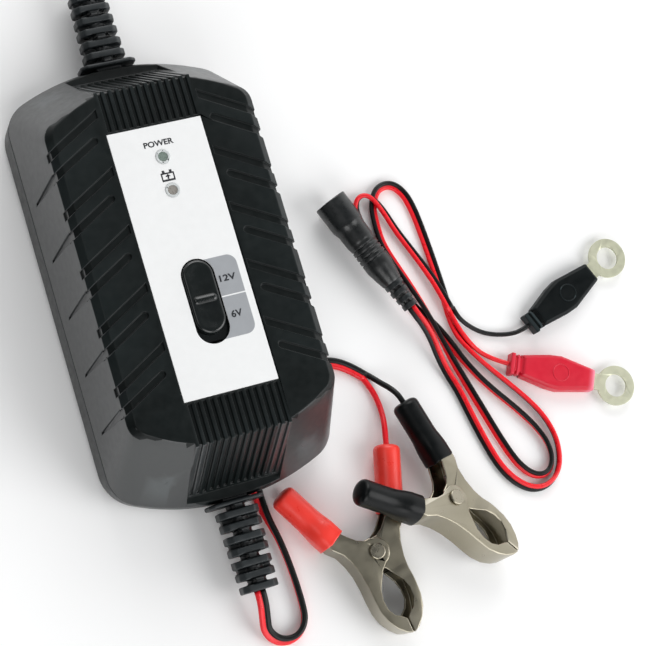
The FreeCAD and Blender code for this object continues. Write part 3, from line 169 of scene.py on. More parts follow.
DB = Vector((0.917, 0.400, 0))
DR = Vector((0.905, -0.426, 0))
RED_AT = DR.dot(Vector((0.1156, -0.05735, 0)))
M = {
    # its lighter edges are partly wear and partly a painted highlight along the rims
    "cover_plastic": material("cover_plastic", lin(11, 17, 17), 0.38, spec=0.24, vary=0.22, fine=3000, bump=0.3, depth=0.00003, rough_vary=0.05, edge_wear_and_highlight=0.35, edge_wear_and_highlight_rgb=lin(66, 76, 78)),
    # a lighter copy of the cover plastic for its side walls and far bevel: the lighter colour is a painted reflection
    # of bright surroundings at grazing angles
    "cover_wall_painted_reflection": material("cover_wall_painted_reflection", lin(30, 34, 35), 0.34, spec=0.85, vary=0.10, big=30, fine=900, bump=0.06, depth=0.00002, rough_vary=0.04, edge_wear_and_highlight=0.3, edge_wear_and_highlight_rgb=lin(92, 100, 102)),
    "tub_plastic": material("tub_plastic", lin(42, 45, 45), 0.42, spec=0.6, vary=0.1, fine=3000, bump=0.3, depth=0.00003, edge_wear_and_highlight=0.2, edge_wear_and_highlight_rgb=lin(96, 100, 100)),
    "screw_steel": material("screw_steel", lin(180, 180, 176), 0.32, metal=1.0, fine=6000, bump=0.2),
    "label_white": material("label_white", lin(233, 234, 234), 0.36, spec=0.45, vary=0.025, big=22, fine=5200, bump=0.12, depth=0.00002, rough_vary=0.05),
    "bezel_grey": material("bezel_grey", lin(196, 200, 200), 0.34, vary=0.05, fine=5000, bump=0.15),
    "power_lens": material("power_lens", lin(126, 140, 132), 0.28, vary=0.10, mid=1400, fine=5200, bump=0.3, coat=0.4, trans=0.15),
    "charge_lens": material("charge_lens", lin(150, 146, 140), 0.28, vary=0.10, mid=1400, fine=5200, bump=0.3, coat=0.4, trans=0.15),
    "knob_plastic": material("knob_plastic", lin(12, 18, 18), 0.24, spec=0.5, vary=0.2, fine=900, bump=0.03, depth=0.00002, rough_vary=0.05, coat=0.25, coat_rough=0.12, edge_wear_and_highlight=0.12, edge_wear_and_highlight_rgb=lin(40, 50, 52)),
    "switch_plastic": material("switch_plastic", lin(36, 36, 36), 0.5, vary=0.15),
    "board_green": material("board_green", lin(30, 104, 60), 0.35, vary=0.25, mid=900, coat=0.3),
    "core_steel": material("core_steel", lin(96, 92, 88), 0.45, metal=0.7, vary=0.2, stretch=(0.0, 12.0)),
    "winding_tape": material("winding_tape", lin(206, 180, 84), 0.4, vary=0.12),
    "sink_aluminium": material("sink_aluminium", lin(206, 208, 210), 0.3, metal=1.0, stretch=(0.0, 14.0)),
    "capacitor_sleeve": material("capacitor_sleeve", lin(58, 64, 92), 0.25, vary=0.1, coat=0.3),
    "fuse_glass": material("fuse_glass", lin(232, 236, 236), 0.08, vary=0.03, trans=0.85, bump=0.05),
    "led_plastic": material("led_plastic", lin(222, 222, 216), 0.2, vary=0.05, trans=0.3),
    "relief_rubber": material("relief_rubber", lin(22, 26, 28), 0.42, spec=0.42, vary=0.2, fine=2600, bump=0.2, depth=0.00004, edge_wear_and_highlight=0.4, edge_wear_and_highlight_rgb=lin(84, 92, 95)),
    "wire_black": material("wire_black", lin(6, 7, 8), 0.36, spec=0.32, vary=0.2, mid=500, fine=900, bump=0.04, depth=0.00001),
    "wire_red": material("wire_red", lin(236, 18, 34), 0.32, spec=0.5, vary=0.07, mid=500, fine=900, bump=0.04, depth=0.00001),
    "clip_metal": material("clip_metal", lin(150, 144, 127), 0.31, metal=1.0, vary=0.07, big=60, mid=220, fine=420, bump=0.03, depth=0.00001, edge_wear_and_highlight=0.8, edge_wear_and_highlight_rgb=lin(222, 216, 200), stretch=(0.6, 3.0), rough_vary=0.04),
    "rivet_steel": material("rivet_steel", lin(164, 158, 142), 0.28, metal=1.0, vary=0.08, mid=400, fine=700, bump=0.03, depth=0.00001, edge_wear_and_highlight=0.6, edge_wear_and_highlight_rgb=lin(222, 216, 204)),
    "spring_steel": material("spring_steel", lin(150, 150, 148), 0.28, metal=1.0, vary=0.12, mid=1200, fine=6000, bump=0.25),
    "sleeve_red": material("sleeve_red", lin(246, 60, 49), 0.33, spec=0.5, vary=0.05, mid=200, fine=520, bump=0.02, depth=0.00001, coat=0.15, coat_rough=0.25),
    "sleeve_black": material("sleeve_black", lin(6, 9, 10), 0.34, spec=0.2, vary=0.16, mid=200, fine=520, bump=0.03, depth=0.00002, coat=0.04, coat_rough=0.25),
    "connector_plastic": material("connector_plastic", lin(13, 16, 17), 0.32, spec=0.6, vary=0.2, fine=2600, bump=0.2, depth=0.00003, edge_wear_and_highlight=0.25, edge_wear_and_highlight_rgb=lin(80, 90, 94)),
    "contact_brass": material("contact_brass", lin(212, 184, 118), 0.25, metal=1.0, vary=0.1, mid=1500),
    "boot_black": material("boot_black", lin(4, 8, 9), 0.40, spec=0.14, vary=0.2, fine=900, bump=0.08, depth=0.00002, edge_wear_and_highlight=0.5, edge_wear_and_highlight_rgb=lin(70, 82, 85)),
    "boot_red": material("boot_red", lin(206, 13, 44), 0.40, spec=0.42, vary=0.08, fine=900, bump=0.08, depth=0.00002, edge_wear_and_highlight=0.3, edge_wear_and_highlight_rgb=lin(240, 90, 110),
                         ramp=(tuple(DR), RED_AT + 0.0300, RED_AT + 0.0333, lin(240, 132, 156))),
    "ring_metal": material("ring_metal", lin(204, 205, 180), 0.4, metal=0.6, vary=0.05, mid=600, fine=2400, bump=0.12, depth=0.00001, edge_wear_and_highlight=0.3, edge_wear_and_highlight_rgb=lin(228, 228, 210)),
    "print_grey": material("print_grey", lin(155, 158, 162), 0.38, vary=0.04, big=30, fine=5200, bump=0.12, depth=0.00002),
    "print_dark": material("print_dark", lin(40, 42, 46), 0.38, vary=0.08, mid=1600, fine=5200, bump=0.12, depth=0.00002),
}
M["twin_flex"] = M["wire_black"]

# ---------------------------------------------------------------- cords


def curve_of(name, pts, res):
    cu = bpy.data.curves.new(name, "CURVE")
    cu.dimensions = "3D"
    cu.resolution_u = res
    sp = cu.splines.new("NURBS")
    sp.points.add(len(pts) - 1)
    for q, c in zip(sp.points, pts):
        q.co = (c[0] * 0.001, c[1] * 0.001, c[2] * 0.001, 1.0)
    sp.order_u = 3
    sp.use_endpoint_u = True
    return cu


def line_of(name, pts, res=8):
    """Points along the route's own spline, for the flat twin flex that follows it."""
    ob = bpy.data.objects.new(name, curve_of(name, pts, res))
    LINK(ob)
    me = bpy.data.meshes.new_from_object(ob)
    line = [v.co.copy() for v in me.vertices]
    bpy.data.objects.remove(ob)
    bpy.data.meshes.remove(me)
    return line


def run(line):
    return sum((b - a).length for a, b in zip(line, line[1:]))


def single(name, pts, radius, mat, slot, body, *nodes):
    cu = curve_of(name, pts, 12)
    cu.bevel_depth = radius * 0.001
    cu.bevel_resolution = 6
    cu.use_fill_caps = True
    cu.materials.append(mat)
    ob = bpy.data.objects.new(name, cu)
    LINK(ob)
    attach(ob, body)
    if nodes:
        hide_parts(*nodes)
    return ob


def twin(name, pts, turn, width, body, *nodes, squeeze=None):
    """Two joined wires, black and red, swept as one figure-eight section. turn gives the black one's place round the middle in degrees
    at each point of the route: 0 on the right of travel, 90 on top, 180 on the left."""
    line = line_of(name + "_route", pts)
    n = len(line)
    at, k = [], 0
    for j, c in enumerate(pts):
        c = Vector(c) * 0.001
        best = min(range(k, n), key=lambda i: (line[i] - c).length) if 0 < j < len(pts) - 1 else (0 if j == 0 else n - 1)
        k = min(best, n - 1)
        at.append(k)
    ang, thin = [0.0] * n, [1.0] * n
    squeeze = squeeze or [1.0] * len(pts)
    for (a, b), (ta, tb), (sa, sb) in zip(zip(at, at[1:]), zip(turn, turn[1:]), zip(squeeze, squeeze[1:])):
        for i in range(a, b + 1):
            t = 0 if b == a else (i - a) / (b - a)
            ang[i] = ta + (tb - ta) * t
            thin[i] = sa + (sb - sa) * t
    for _ in range(6):
        ang = [ang[0]] + [(ang[i - 1] + 2 * ang[i] + ang[i + 1]) / 4 for i in range(1, n - 1)] + [ang[-1]]
        thin = [thin[0]] + [(thin[i - 1] + 2 * thin[i] + thin[i + 1]) / 4 for i in range(1, n - 1)] + [thin[-1]]
    r, c = 0.258 * width * 0.001, 0.242 * width * 0.001
    valley = 180 - math.degrees(math.acos(c / r))
    one = [math.radians(-valley + 2 * valley * i / 13) for i in range(14)]
    bm = bmesh.new()
    rings = []
    for i, p in enumerate(line):
        t = (line[min(n - 1, i + 1)] - line[max(0, i - 1)]).normalized()
        side = t.cross(Vector((0, 0, 1))).normalized()
        up = side.cross(t).normalized()
        a = math.radians(ang[i])
        b = side * math.cos(a) + up * math.sin(a)
        h = up * math.cos(a) - side * math.sin(a)
        s = thin[i]
        loop = [p + (b * (c + r * math.cos(q)) + h * (r * math.sin(q))) * s for q in one]
        loop += [p - (b * (c + r * math.cos(q)) + h * (r * math.sin(q))) * s for q in one[1:-1]]
        rings.append([bm.verts.new(v) for v in loop])
    m = len(rings[0])
    for a, b in zip(rings, rings[1:]):
        for j in range(m):
            f = bm.faces.new((a[j], a[(j + 1) % m], b[(j + 1) % m], b[j]))
            f.material_index = 0 if j < 13 else 1
            f.smooth = True
    for ring, flip in ((rings[0], True), (rings[-1], False)):
        for part, idx in ((ring[:14], 0), (ring[13:] + ring[:1], 1)):
            f = bm.faces.new(part[::-1] if flip else part)
            f.material_index = idx
    bmesh.ops.recalc_face_normals(bm, faces=bm.faces)
    me = bpy.data.meshes.new(name)
    bm.to_mesh(me)
    bm.free()
    me.materials.append(M["wire_black"])
    me.materials.append(M["wire_red"])
    ob = bpy.data.objects.new(name, me)
    LINK(ob)
    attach(ob, body)
    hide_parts(*nodes)
    return ob, line


TZ = 1.18
# each entry: x, y, z of the route and the black wire's place round the middle
OUT = [((0.0, -109.95, 8.8), 180), ((0.2, -114.2, 8.1), 180), ((0.0, -119.0, 5.6), 178), ((-0.2, -124.2, 3.0), 170),
       ((4.0, -128.7, 1.8), 136), ((10.2, -128.8, 2.05), 108), ((14.5, -124.4, 2.25), 98), ((15.1, -117.0, 2.26), 99),
       ((14.8, -106.5, 2.26), 99), ((13.8, -96.0, 2.26), 98), ((11.6, -86.9, 2.3), 80), ((10.7, -79.0, 1.3), 14),
       ((12.0, -67.0, TZ), 0), ((15.0, -56.5, TZ), 50), ((21.6, -47.4, TZ), 125), ((31.4, -41.2, TZ), 180),
       ((42.0, -38.8, TZ), 180), ((50.4, -40.1, TZ), 180), ((56.8, -43.7, TZ), 180), ((61.6, -48.6, TZ), 180)]
OUT_BLACK = [(62.39, -47.83, TZ), (64.1, -49.8, 1.75), (65.6, -52.1, 3.3), (67.1, -54.3, 5.2), (68.3, -56.6, 6.9),
             (69.3, -59.11, 7.86), (70.115, -62.0, 7.88)]
OUT_RED = [(60.8, -49.4, TZ), (62.0, -52.4, 1.3), (62.9, -55.8, 1.5), (63.1, -59.5, 2.2), (62.7, -63.3, 3.4),
           (61.8, -67.1, 4.7), (60.72, -70.9, 5.33), (59.81, -74.8, 5.35)]
squeeze = [1.0] * len(OUT)
squeeze[13] = squeeze[14] = 0.56
out_twin, out_line = twin("output_twin_flex", [p for p, a in OUT], [a for p, a in OUT], 4.1, "charger", "output_twin_lead", squeeze=squeeze)
out_black = single("output_black_flex", OUT_BLACK, 1.03, M["wire_black"], "wire_black", "charger", "output_black_wire")
out_red = single("output_red_flex", OUT_RED, 1.03, M["wire_red"], "wire_red", "charger", "output_red_wire")

RING = [((83.3, -29.1, 8.3), -10), ((84.43, -31.88, 8.1), -15), ((86.6, -36.0, 7.0), -25), ((88.6, -41.0, 5.4), -35),
        ((90.2, -48.9, 3.0), -45), ((91.9, -55.3, 1.9), -45), ((94.0, -61.6, 1.7), -45), ((96.2, -74.4, 1.7), -45),
        ((99.2, -87.6, 1.7), -42), ((101.6, -93.9, 1.7), -38), ((105.2, -99.2, 1.65), -32), ((110.0, -102.9, 1.6), -44),
        ((115.2, -103.6, 1.75), -66), ((120.0, -101.4, 1.9), -76), ((123.4, -97.0, 1.95), -82), ((125.1, -90.0, 1.95), -74),
        ((124.4, -83.0, 1.95), -75), ((121.6, -75.8, 1.95), -75), ((116.9, -68.6, 1.95), -75), ((112.2, -62.3, 1.95), -75),
        ((106.6, -54.8, 1.95), -72), ((102.4, -48.0, 1.85), -60), ((100.0, -41.6, 1.45), -28), ((99.6, -34.9, 1.15), -8),
        ((99.9, -28.1, 1.1), -2), ((99.5, -16.0, 1.2), 10), ((98.9, -4.0, 1.45), 24), ((98.2, 5.6, 1.5), 28),
        ((96.6, 13.0, 1.5), 28), ((92.6, 17.6, 1.5), 28), ((86.8, 17.0, 1.5), 28), ((83.2, 11.4, 1.5), 28),
        ((82.4, 4.0, 1.5), 28), ((82.5, -2.6, 1.5), 28), ((84.0, -8.6, 1.6), 32), ((87.4, -18.6, 1.9), 42),
        ((89.9, -27.7, 2.7), 55), ((91.5, -34.5, 3.2), 70), ((93.0, -42.4, 3.1), 90), ((95.0, -50.6, 2.3), 108),
        ((97.6, -59.6, 1.9), 118), ((101.2, -72.8, 1.85), 120), ((104.2, -83.8, 1.85), 120), ((107.6, -93.2, 1.85), 120),
        ((112.2, -98.6, 1.85), 120), ((117.4, -99.4, 1.85), 118), ((120.9, -95.8, 1.9), 114), ((121.6, -89.8, 1.95), 108),
        ((119.6, -83.4, 1.95), 98), ((114.4, -74.8, 1.95), 88), ((104.9, -62.2, 1.95), 84), ((99.6, -52.6, 1.95), 78),
        ((96.4, -44.8, 1.7), 45), ((92.9, -36.7, 1.1), 8), ((87.4, -29.0, 1.05), 0), ((83.4, -20.0, 1.1), -8),
        ((81.0, -10.0, 1.1), -8), ((79.0, -1.3, 1.15), -8), ((77.0, 5.6, 1.4), -20), ((76.3, 11.0, 1.8), -45),
        ((78.4, 15.4, 2.3), -80), ((82.6, 15.2, 2.95), -115), ((86.0, 9.4, 2.7), -138), ((89.0, 0.6, 1.75), -146),
        ((92.2, -7.0, 1.6), -150), ((95.2, -15.0, 2.2), -158), ((98.0, -24.0, 3.1), -168), ((100.0, -33.3, 3.1), -180)]
BLACK_TAIL = [(100.85, -32.2, 3.1), (101.7, -35.4, 2.8), (103.3, -38.0, 2.35), (105.6, -40.4, 1.8), (108.3, -42.6, 1.3), (111.4, -44.4, 1.1),
              (115.2, -45.8, 1.15), (119.6, -46.8, 1.5), (123.9, -46.9, 2.2), (127.8, -45.65, 2.7)]
RED_TAIL = [(99.15, -32.2, 3.1), (99.8, -36.4, 3.1), (101.2, -41.2, 2.9), (103.5, -46.2, 2.3), (105.9, -49.7, 1.6), (108.6, -52.2, 1.2),
            (112.0, -54.9, 1.7), (115.6, -57.35, 2.7)]
ring_twin, ring_line = twin("ring_twin_flex", [p for p, a in RING], [a for p, a in RING], 3.3, "ring_lead", "ring_lead_loops", "ring_lead_start")
tail_black = single("ring_black_flex", BLACK_TAIL, 0.84, M["wire_black"], "wire_black", "ring_lead", "ring_lead_black_wire")
tail_red = single("ring_red_flex", RED_TAIL, 0.84, M["wire_red"], "wire_red", "ring_lead", "ring_lead_red_wire")
print("twin lengths", run(out_line), run(ring_line))

# ---------------------------------------------------------------- moulded and pressed pieces


def bevelled(node, width, angle=25.0, seg=2, dissolve=0.4, split=4, clamp=False, joggle=None, painted_reflection_walls=None):
    """The node's own form with its doubled points joined and its edges softened as moulding, pressing or dipping leaves them."""
    src = NODES[node]
    me = src.data.copy()
    me.name = node + "_form"
    bm = bmesh.new()
    bm.from_mesh(me)
    bmesh.ops.remove_doubles(bm, verts=bm.verts, dist=2e-6)
    bmesh.ops.dissolve_limit(bm, angle_limit=math.radians(dissolve), verts=bm.verts, edges=bm.edges, delimit={"MATERIAL"})
    if joggle:
        # the plates rise on a slope from the pivot's level to the nose's, as pressed sheet does
        m = Matrix(((joggle[0][0], joggle[0][1], joggle[0][2], joggle[3][0]), (joggle[1][0], joggle[1][1], joggle[1][2], joggle[3][1]),
                    (joggle[2][0], joggle[2][1], joggle[2][2], joggle[3][2]), (0, 0, 0, 1)))
        inv = m.inverted()
        for k in range(1, 8):
            bmesh.ops.bisect_plane(bm, geom=bm.verts[:] + bm.edges[:] + bm.faces[:], plane_co=(m @ Vector((7.4 + 0.9 * k, 0, 0))) * 0.001,
                                   plane_no=m.to_3x3() @ Vector((1, 0, 0)))
        for v in bm.verts:
            c = inv @ (v.co * 1000)
            if abs(c.z) > 4.38 and 7.3 < c.x < 13.7:
                t = max(0.0, min(1.0, (c.x - 7.4) / 6.3))
                c.z -= math.copysign(1.0 * (1 - t * t * (3 - 2 * t)), c.z)
                v.co = (m @ c) * 0.001
        bmesh.ops.remove_doubles(bm, verts=bm.verts, dist=2e-5)
    bmesh.ops.triangulate(bm, faces=[f for f in bm.faces if len(f.verts) > split], ngon_method="EAR_CLIP")
    # the cover's side walls and far bevel, picked by where they face, get the lighter copy of its plastic: a painted
    # reflection of bright surroundings at grazing angles
    if painted_reflection_walls:
        for f in bm.faces:
            c = f.calc_center_median() * 1000
            ends = abs(c.x) < 11.8 and abs(c.y) > 52
            outer = abs(c.x) > 30 or (abs(c.y) > 54 and c.z < 43.0)
            if outer and not ends and (abs(f.normal.z) < 0.5 or (abs(c.y) > 54 and f.normal.z < (0.86 if c.y > 0 else 0.80))) and c.z < 43.2:
                f.material_index = 1
    bm.to_mesh(me)
    bm.free()
    for a in ("custom_normal", "sharp_edge", "sharp_face"):
        if a in me.attributes:
            me.attributes.remove(me.attributes[a])
    for f in me.polygons:
        f.use_smooth = True
    ob = bpy.data.objects.new(node + "_form", me)
    LINK(ob)
    b = ob.modifiers.new("edges", "BEVEL")
    b.width = width * 0.001
    b.segments = seg
    b.limit_method = "ANGLE"
    b.angle_limit = math.radians(angle)
    b.use_clamp_overlap = clamp
    if painted_reflection_walls:
        # points that the softening threw off the surface at the grooves' sharp run-outs go back to it
        tree = BVHTree.FromPolygons([v.co.copy() for v in me.vertices], [list(f.vertices) for f in me.polygons])
        soft = bpy.data.meshes.new_from_object(ob.evaluated_get(bpy.context.evaluated_depsgraph_get()))
        ob.modifiers.remove(b)
        moved = 0
        for v in soft.vertices:
            near, _, _, away = tree.find_nearest(v.co)
            if away > 0.00030:
                v.co = near
                moved += 1
        print("points put back on", node, moved)
        soft.name = node + "_form"
        ob.data = me = soft
    w = ob.modifiers.new("normals", "WEIGHTED_NORMAL")
    w.mode = "FACE_AREA"
    w.weight = 80
    w.keep_sharp = False
    slot = SLOT[node]
    for i in range(len(me.materials)):
        me.materials[i] = M[slot]
    if not me.materials:
        me.materials.append(M[slot])
    if painted_reflection_walls:
        me.materials.append(M[painted_reflection_walls])
        print("materials on", node, len(me.materials))
    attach(ob, BODY[node])
    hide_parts(node)
    return ob


SLOT = {}
for n, o in NODES.items():
    for s in o.material_slots:
        key = s.material.name.split(".")[0] if s.material else ""
        if key in M:
            SLOT[n] = key
            s.material = M[key]
print("no slot found for", [n for n in NODES if n not in SLOT])

RED_M = ((0.15356, 0.98814, 0.0), (-0.98814, 0.15356, 0.0), (0.0, 0.0, 1.0), (43.57, -108.62, 5.35))
BLK_M = ((0.60284, 0.71653, 0.35096), (-0.78563, 0.60981, 0.10445), (-0.13917, -0.33869, 0.93055), (73.53, -99.25, 10.77))
WIDTHS = {
    "top_cover": 0.30, "bottom_cover": 0.35, "mains_strain_relief": 0.55, "output_strain_relief": 0.55, "front_label": 0.12,
    "lamp_bezels": 0.18, "black_boot": 0.42, "red_boot": 0.42, "black_ring_terminal": 0.12,
    "red_ring_terminal": 0.12, "connector_shell": 0.22, "connector_strain_relief": 0.25,
}
for side in ("black", "red"):
    WIDTHS.update({side + "_clip_fixed_jaw": 0.36, side + "_clip_moving_jaw": 0.36, side + "_clip_rivet": 0.30,
                   })
for n, w in WIDTHS.items():
    bevelled(n, w, split=400 if n == "front_label" else 4, clamp=n.endswith("ring_terminal"),
             joggle={"red_clip_fixed_jaw": RED_M, "black_clip_fixed_jaw": BLK_M}.get(n), painted_reflection_walls="cover_wall_painted_reflection" if n == "top_cover" else None)

# ---------------------------------------------------------------- slide knob


def knob():
    """A stadium button with rounded shoulders and a very shallow hollow, a raised capsule bar across it for the finger, and its
    guide plate below the slot."""
    ky, half_l, half_w = -13.75, 12.6, 5.35
    bm = bmesh.new()
    n = 20

    def ring(off, z):
        r, s = max(0.05, half_w - off), half_l - half_w
        pts = [(r * math.cos(math.pi * i / n), s + r * math.sin(math.pi * i / n)) for i in range(n + 1)]
        pts += [(-x, -y) for x, y in pts]
        return [bm.verts.new((x * 0.001, (ky + y) * 0.001, z * 0.001)) for x, y in pts]

    def skin(rings):
        m = len(rings[0])
        for a, b in zip(rings, rings[1:]):
            for j in range(m):
                bm.faces.new((a[j], a[(j + 1) % m], b[(j + 1) % m], b[j])).smooth = True
        bm.faces.new(rings[0][::-1])
        bm.faces.new(rings[-1]).smooth = True

    st = [(0.0, 41.2), (0.0, 43.3)]
    st += [(1.1 - 1.1 * math.cos(math.radians(a)), 43.45 + 1.1 * math.sin(math.radians(a))) for a in (0, 15, 30, 45, 60, 75, 90)]
    st += [(1.5, 44.52), (2.1, 44.44), (2.8, 44.34), (3.5, 44.26), (4.2, 44.20), (4.8, 44.18), (5.2, 44.18)]
    skin([ring(o, z) for o, z in st])
    # bar across the middle
    bar = []
    for i in range(25):
        t = -1 + 2 * i / 24.0
        x = 4.35 * t
        r = 1.0 * math.sqrt(max(0.0, 1 - max(0.0, (abs(x) - 2.75) / 1.61) ** 2)) + 0.002
        bar.append([bm.verts.new((x * 0.001, (-14.7 + 1.55 * r * math.cos(2 * math.pi * j / 16)) * 0.001, (44.1 + r * 1.18 * math.sin(2 * math.pi * j / 16)) * 0.001))
                    for j in range(16)])
    skin(bar)
    # guide plate
    plate = []
    for z, o in ((39.8, 0.25), (40.0, 0.0), (41.2, 0.0), (41.4, 0.25)):
        plate.append([bm.verts.new((x * 0.001, y * 0.001, z * 0.001)) for x, y in
                      ((-6.9 + o, ky - 15 + o), (6.9 - o, ky - 15 + o), (6.9 - o, ky + 15 - o), (-6.9 + o, ky + 15 - o))])
    for a, b in zip(plate, plate[1:]):
        for j in range(4):
            bm.faces.new((a[j], a[(j + 1) % 4], b[(j + 1) % 4], b[j]))
    bm.faces.new(plate[0][::-1])
    bm.faces.new(plate[-1])
    bmesh.ops.recalc_face_normals(bm, faces=bm.faces)
    me = bpy.data.meshes.new("voltage_knob_form")
    bm.to_mesh(me)
    bm.free()
    me.materials.append(M["knob_plastic"])
    ob = bpy.data.objects.new("voltage_knob_form", me)
    LINK(ob)
    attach(ob, "knob")
    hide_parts("voltage_knob")


knob()

# ---------------------------------------------------------------- dipped vinyl sleeves on the clips' handles

SLEEVE_L = 24.6


def sleeve(node, rows, sy, hole, slim=False):
    """Round at the rear with a soft edge, widening to an oval mouth with a rolled lip, and hollow inside.
    Each station is distance along, half width across the jaws' plane and half thickness."""
    base = Vector((-31.84, sy * 21.64, 0))
    d = Vector((0.91845, -sy * 0.39555, 0))
    q = Vector((-d.y, d.x, 0))
    z = Vector((0, 0, 1))

    def width(l):
        t = max(0.0, min(1.0, (l - 13.0) / 7.2))
        t = t * t * (3 - 2 * t)
        if slim:
            return 4.78 + 0.17 * t, 4.78 + 0.22 * t, 0.0
        return 4.78 + (0.17 if sy > 0 else 0.32) * t, 4.78 + (0.33 if sy > 0 else 1.22) * t, t

    st = [(0.9, hole, hole, 0), (0.02, hole, hole, 0)] if hole > 0.1 else [(0.0, hole, hole, 0)]
    for i in range(1, 13):
        a = math.radians(90 * i / 12)
        r = hole + (4.78 - hole) * math.sin(a) ** 0.7
        st.append((2.8 * (1 - math.cos(a) ** 0.7) if i < 12 else 2.8, r, r, 0))
    st += [(l,) + width(l) for l in (4.0, 7.0, 10.0, 12.5, 14.5, 16.5, 18.3, 20.0, 21.5, 22.8)]
    w, h, t = width(24.0)
    st += [(23.6, w, h, 1), (24.1, w + 0.02, h + 0.02, 1), (24.4, w + 0.01, h + 0.01, 1), (24.55, w - 0.05, h - 0.05, 1),
           (24.6, w - 0.12, h - 0.1, 1), (24.5, w - 0.2, h - 0.14, 1), (24.0, w - 0.24, h - 0.16, 1), (21.3, w - 0.26, h - 0.18, 1)]
    m = Matrix(((rows[0][0], rows[0][1], rows[0][2], rows[3][0]), (rows[1][0], rows[1][1], rows[1][2], rows[3][1]),
                (rows[2][0], rows[2][1], rows[2][2], rows[3][2]), (0, 0, 0, 1)))
    bm = bmesh.new()
    rings = []
    seg = 40
    for l, a, b, sq in st:
        ring = []
        power = 2.0 / (2.0 + (0.0 if slim else 0.6) * sq)
        for j in range(seg):
            u = 2 * math.pi * j / seg
            # the mouth is a little uneven, as dipped vinyl is
            slack = 0.45 * math.sin(2 * u + 0.6 * sy) * max(0.0, (l - 20.0) / 4.9)
            cu, su = math.cos(u), math.sin(u)
            qa = math.copysign(abs(cu) ** power, cu) * a
            zb = math.copysign(abs(su) ** power, su) * (b if su > 0 else min(b, 5.26))
            ring.append(bm.verts.new((m @ (base + d * (l - abs(slack)) + q * qa + z * zb)) * 0.001))
        rings.append(ring)
    for a, b in zip(rings, rings[1:]):
        for j in range(seg):
            f = bm.faces.new((a[j], a[(j + 1) % seg], b[(j + 1) % seg], b[j]))
            f.smooth = True
    bm.faces.new(rings[0])
    bm.faces.new(rings[-1][::-1])
    bmesh.ops.recalc_face_normals(bm, faces=bm.faces)
    me = bpy.data.meshes.new(node + "_form")
    bm.to_mesh(me)
    bm.free()
    slot = SLOT[node]
    me.materials.append(M[slot])
    ob = bpy.data.objects.new(node + "_form", me)
    LINK(ob)
    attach(ob, BODY[node])
    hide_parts(node)


for side, rows in (("red", RED_M), ("black", BLK_M)):
    sleeve(side + "_clip_fixed_sleeve", rows, 1, 1.12, slim=side == "red")
    sleeve(side + "_clip_moving_sleeve", rows, -1, 0.02)

# ---------------------------------------------------------------- print on the label

LABEL_Z = 43.90


def flat(name, polys, mat, z=LABEL_Z, thick=0.035):
    """Printed shapes, each a ring of points on the label, as a thin film of ink."""
    bm = bmesh.new()
    for poly in polys:
        f = bm.faces.new([bm.verts.new((x * 0.001, y * 0.001, (z + thick) * 0.001)) for x, y in poly])
        if f.normal.z < 0:
            f.normal_flip()
    bmesh.ops.recalc_face_normals(bm, faces=bm.faces)
    geo = bmesh.ops.extrude_face_region(bm, geom=bm.faces[:])
    for v in [g for g in geo["geom"] if isinstance(g, bmesh.types.BMVert)]:
        v.co.z = (z - 0.01) * 0.001
    bmesh.ops.recalc_face_normals(bm, faces=bm.faces)
    me = bpy.data.meshes.new(name)
    bm.to_mesh(me)
    bm.free()
    me.materials.append(mat)
    ob = bpy.data.objects.new(name, me)
    LINK(ob)
    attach(ob, "charger")
    return ob


def lettering(name, text, x0, x1, y0, height, mat, z=LABEL_Z):
    """Generic lettering that fills a given width and height, with the built-in face."""
    cu = bpy.data.curves.new(name, "FONT")
    cu.body = text
    cu.size = 1.0
    cu.extrude = 0.008
    cu.offset = 0.026
    cu.resolution_u = 5
    tmp = bpy.data.objects.new(name + "_t", cu)
    LINK(tmp)
    me = bpy.data.meshes.new_from_object(tmp)
    bpy.data.objects.remove(tmp)
    xs, ys = [v.co.x for v in me.vertices], [v.co.y for v in me.vertices]
    ax, ay = min(xs), min(ys)
    kx, ky = (x1 - x0) / (max(xs) - ax), height / (max(ys) - ay)
    for v in me.vertices:
        v.co = ((x0 + (v.co.x - ax) * kx) * 0.001, (y0 + (v.co.y - ay) * ky) * 0.001, (z + (0.045 if v.co.z > 0 else 0.0)) * 0.001)
    me.materials.clear()
    me.materials.append(mat)
    ob = bpy.data.objects.new(name, me)
    LINK(ob)
    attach(ob, "charger")
    return ob


def corner(cx, cy, r, a0, a1, n=8):
    return [(cx + r * math.cos(math.radians(a0 + (a1 - a0) * i / n)), cy + r * math.sin(math.radians(a0 + (a1 - a0) * i / n))) for i in range(n + 1)]


PX1, PR, SR = 14.1, 3.3, 5.80
TOP_ARC = [(x, y) for x, y in corner(0, -6.55, SR, 0, 90, 18) if y < -1.8]
LOW_ARC = [(x, y) for x, y in corner(0, -24.05, SR, -90, 0, 18) if y > -29.1]
flat("print_panel_upper", [[(SR, -15.02), (PX1, -15.02)] + corner(PX1 - PR, -1.8 - PR, PR, 0, 90) + [(3.3, -1.8)] + TOP_ARC[::-1]], M["print_grey"])
flat("print_panel_lower", [[(PX1, -15.48), (SR, -15.48)] + LOW_ARC[::-1] + [(3.3, -29.1)] + corner(PX1 - PR, -29.1 + PR, PR, -90, 0)], M["print_grey"])
lettering("print_12v", "12V", 6.7, 12.4, -10.4, 2.2, M["print_dark"], LABEL_Z + 0.035)
lettering("print_6v", "6V", 7.2, 11.0, -22.8, 2.4, M["print_dark"], LABEL_Z + 0.035)
lettering("print_power", "POWER", -5.3, 5.0, 38.8, 2.0, M["print_dark"])


def rect(x0, x1, y0, y1):
    return [(x0, y0), (x1, y0), (x1, y1), (x0, y1)]


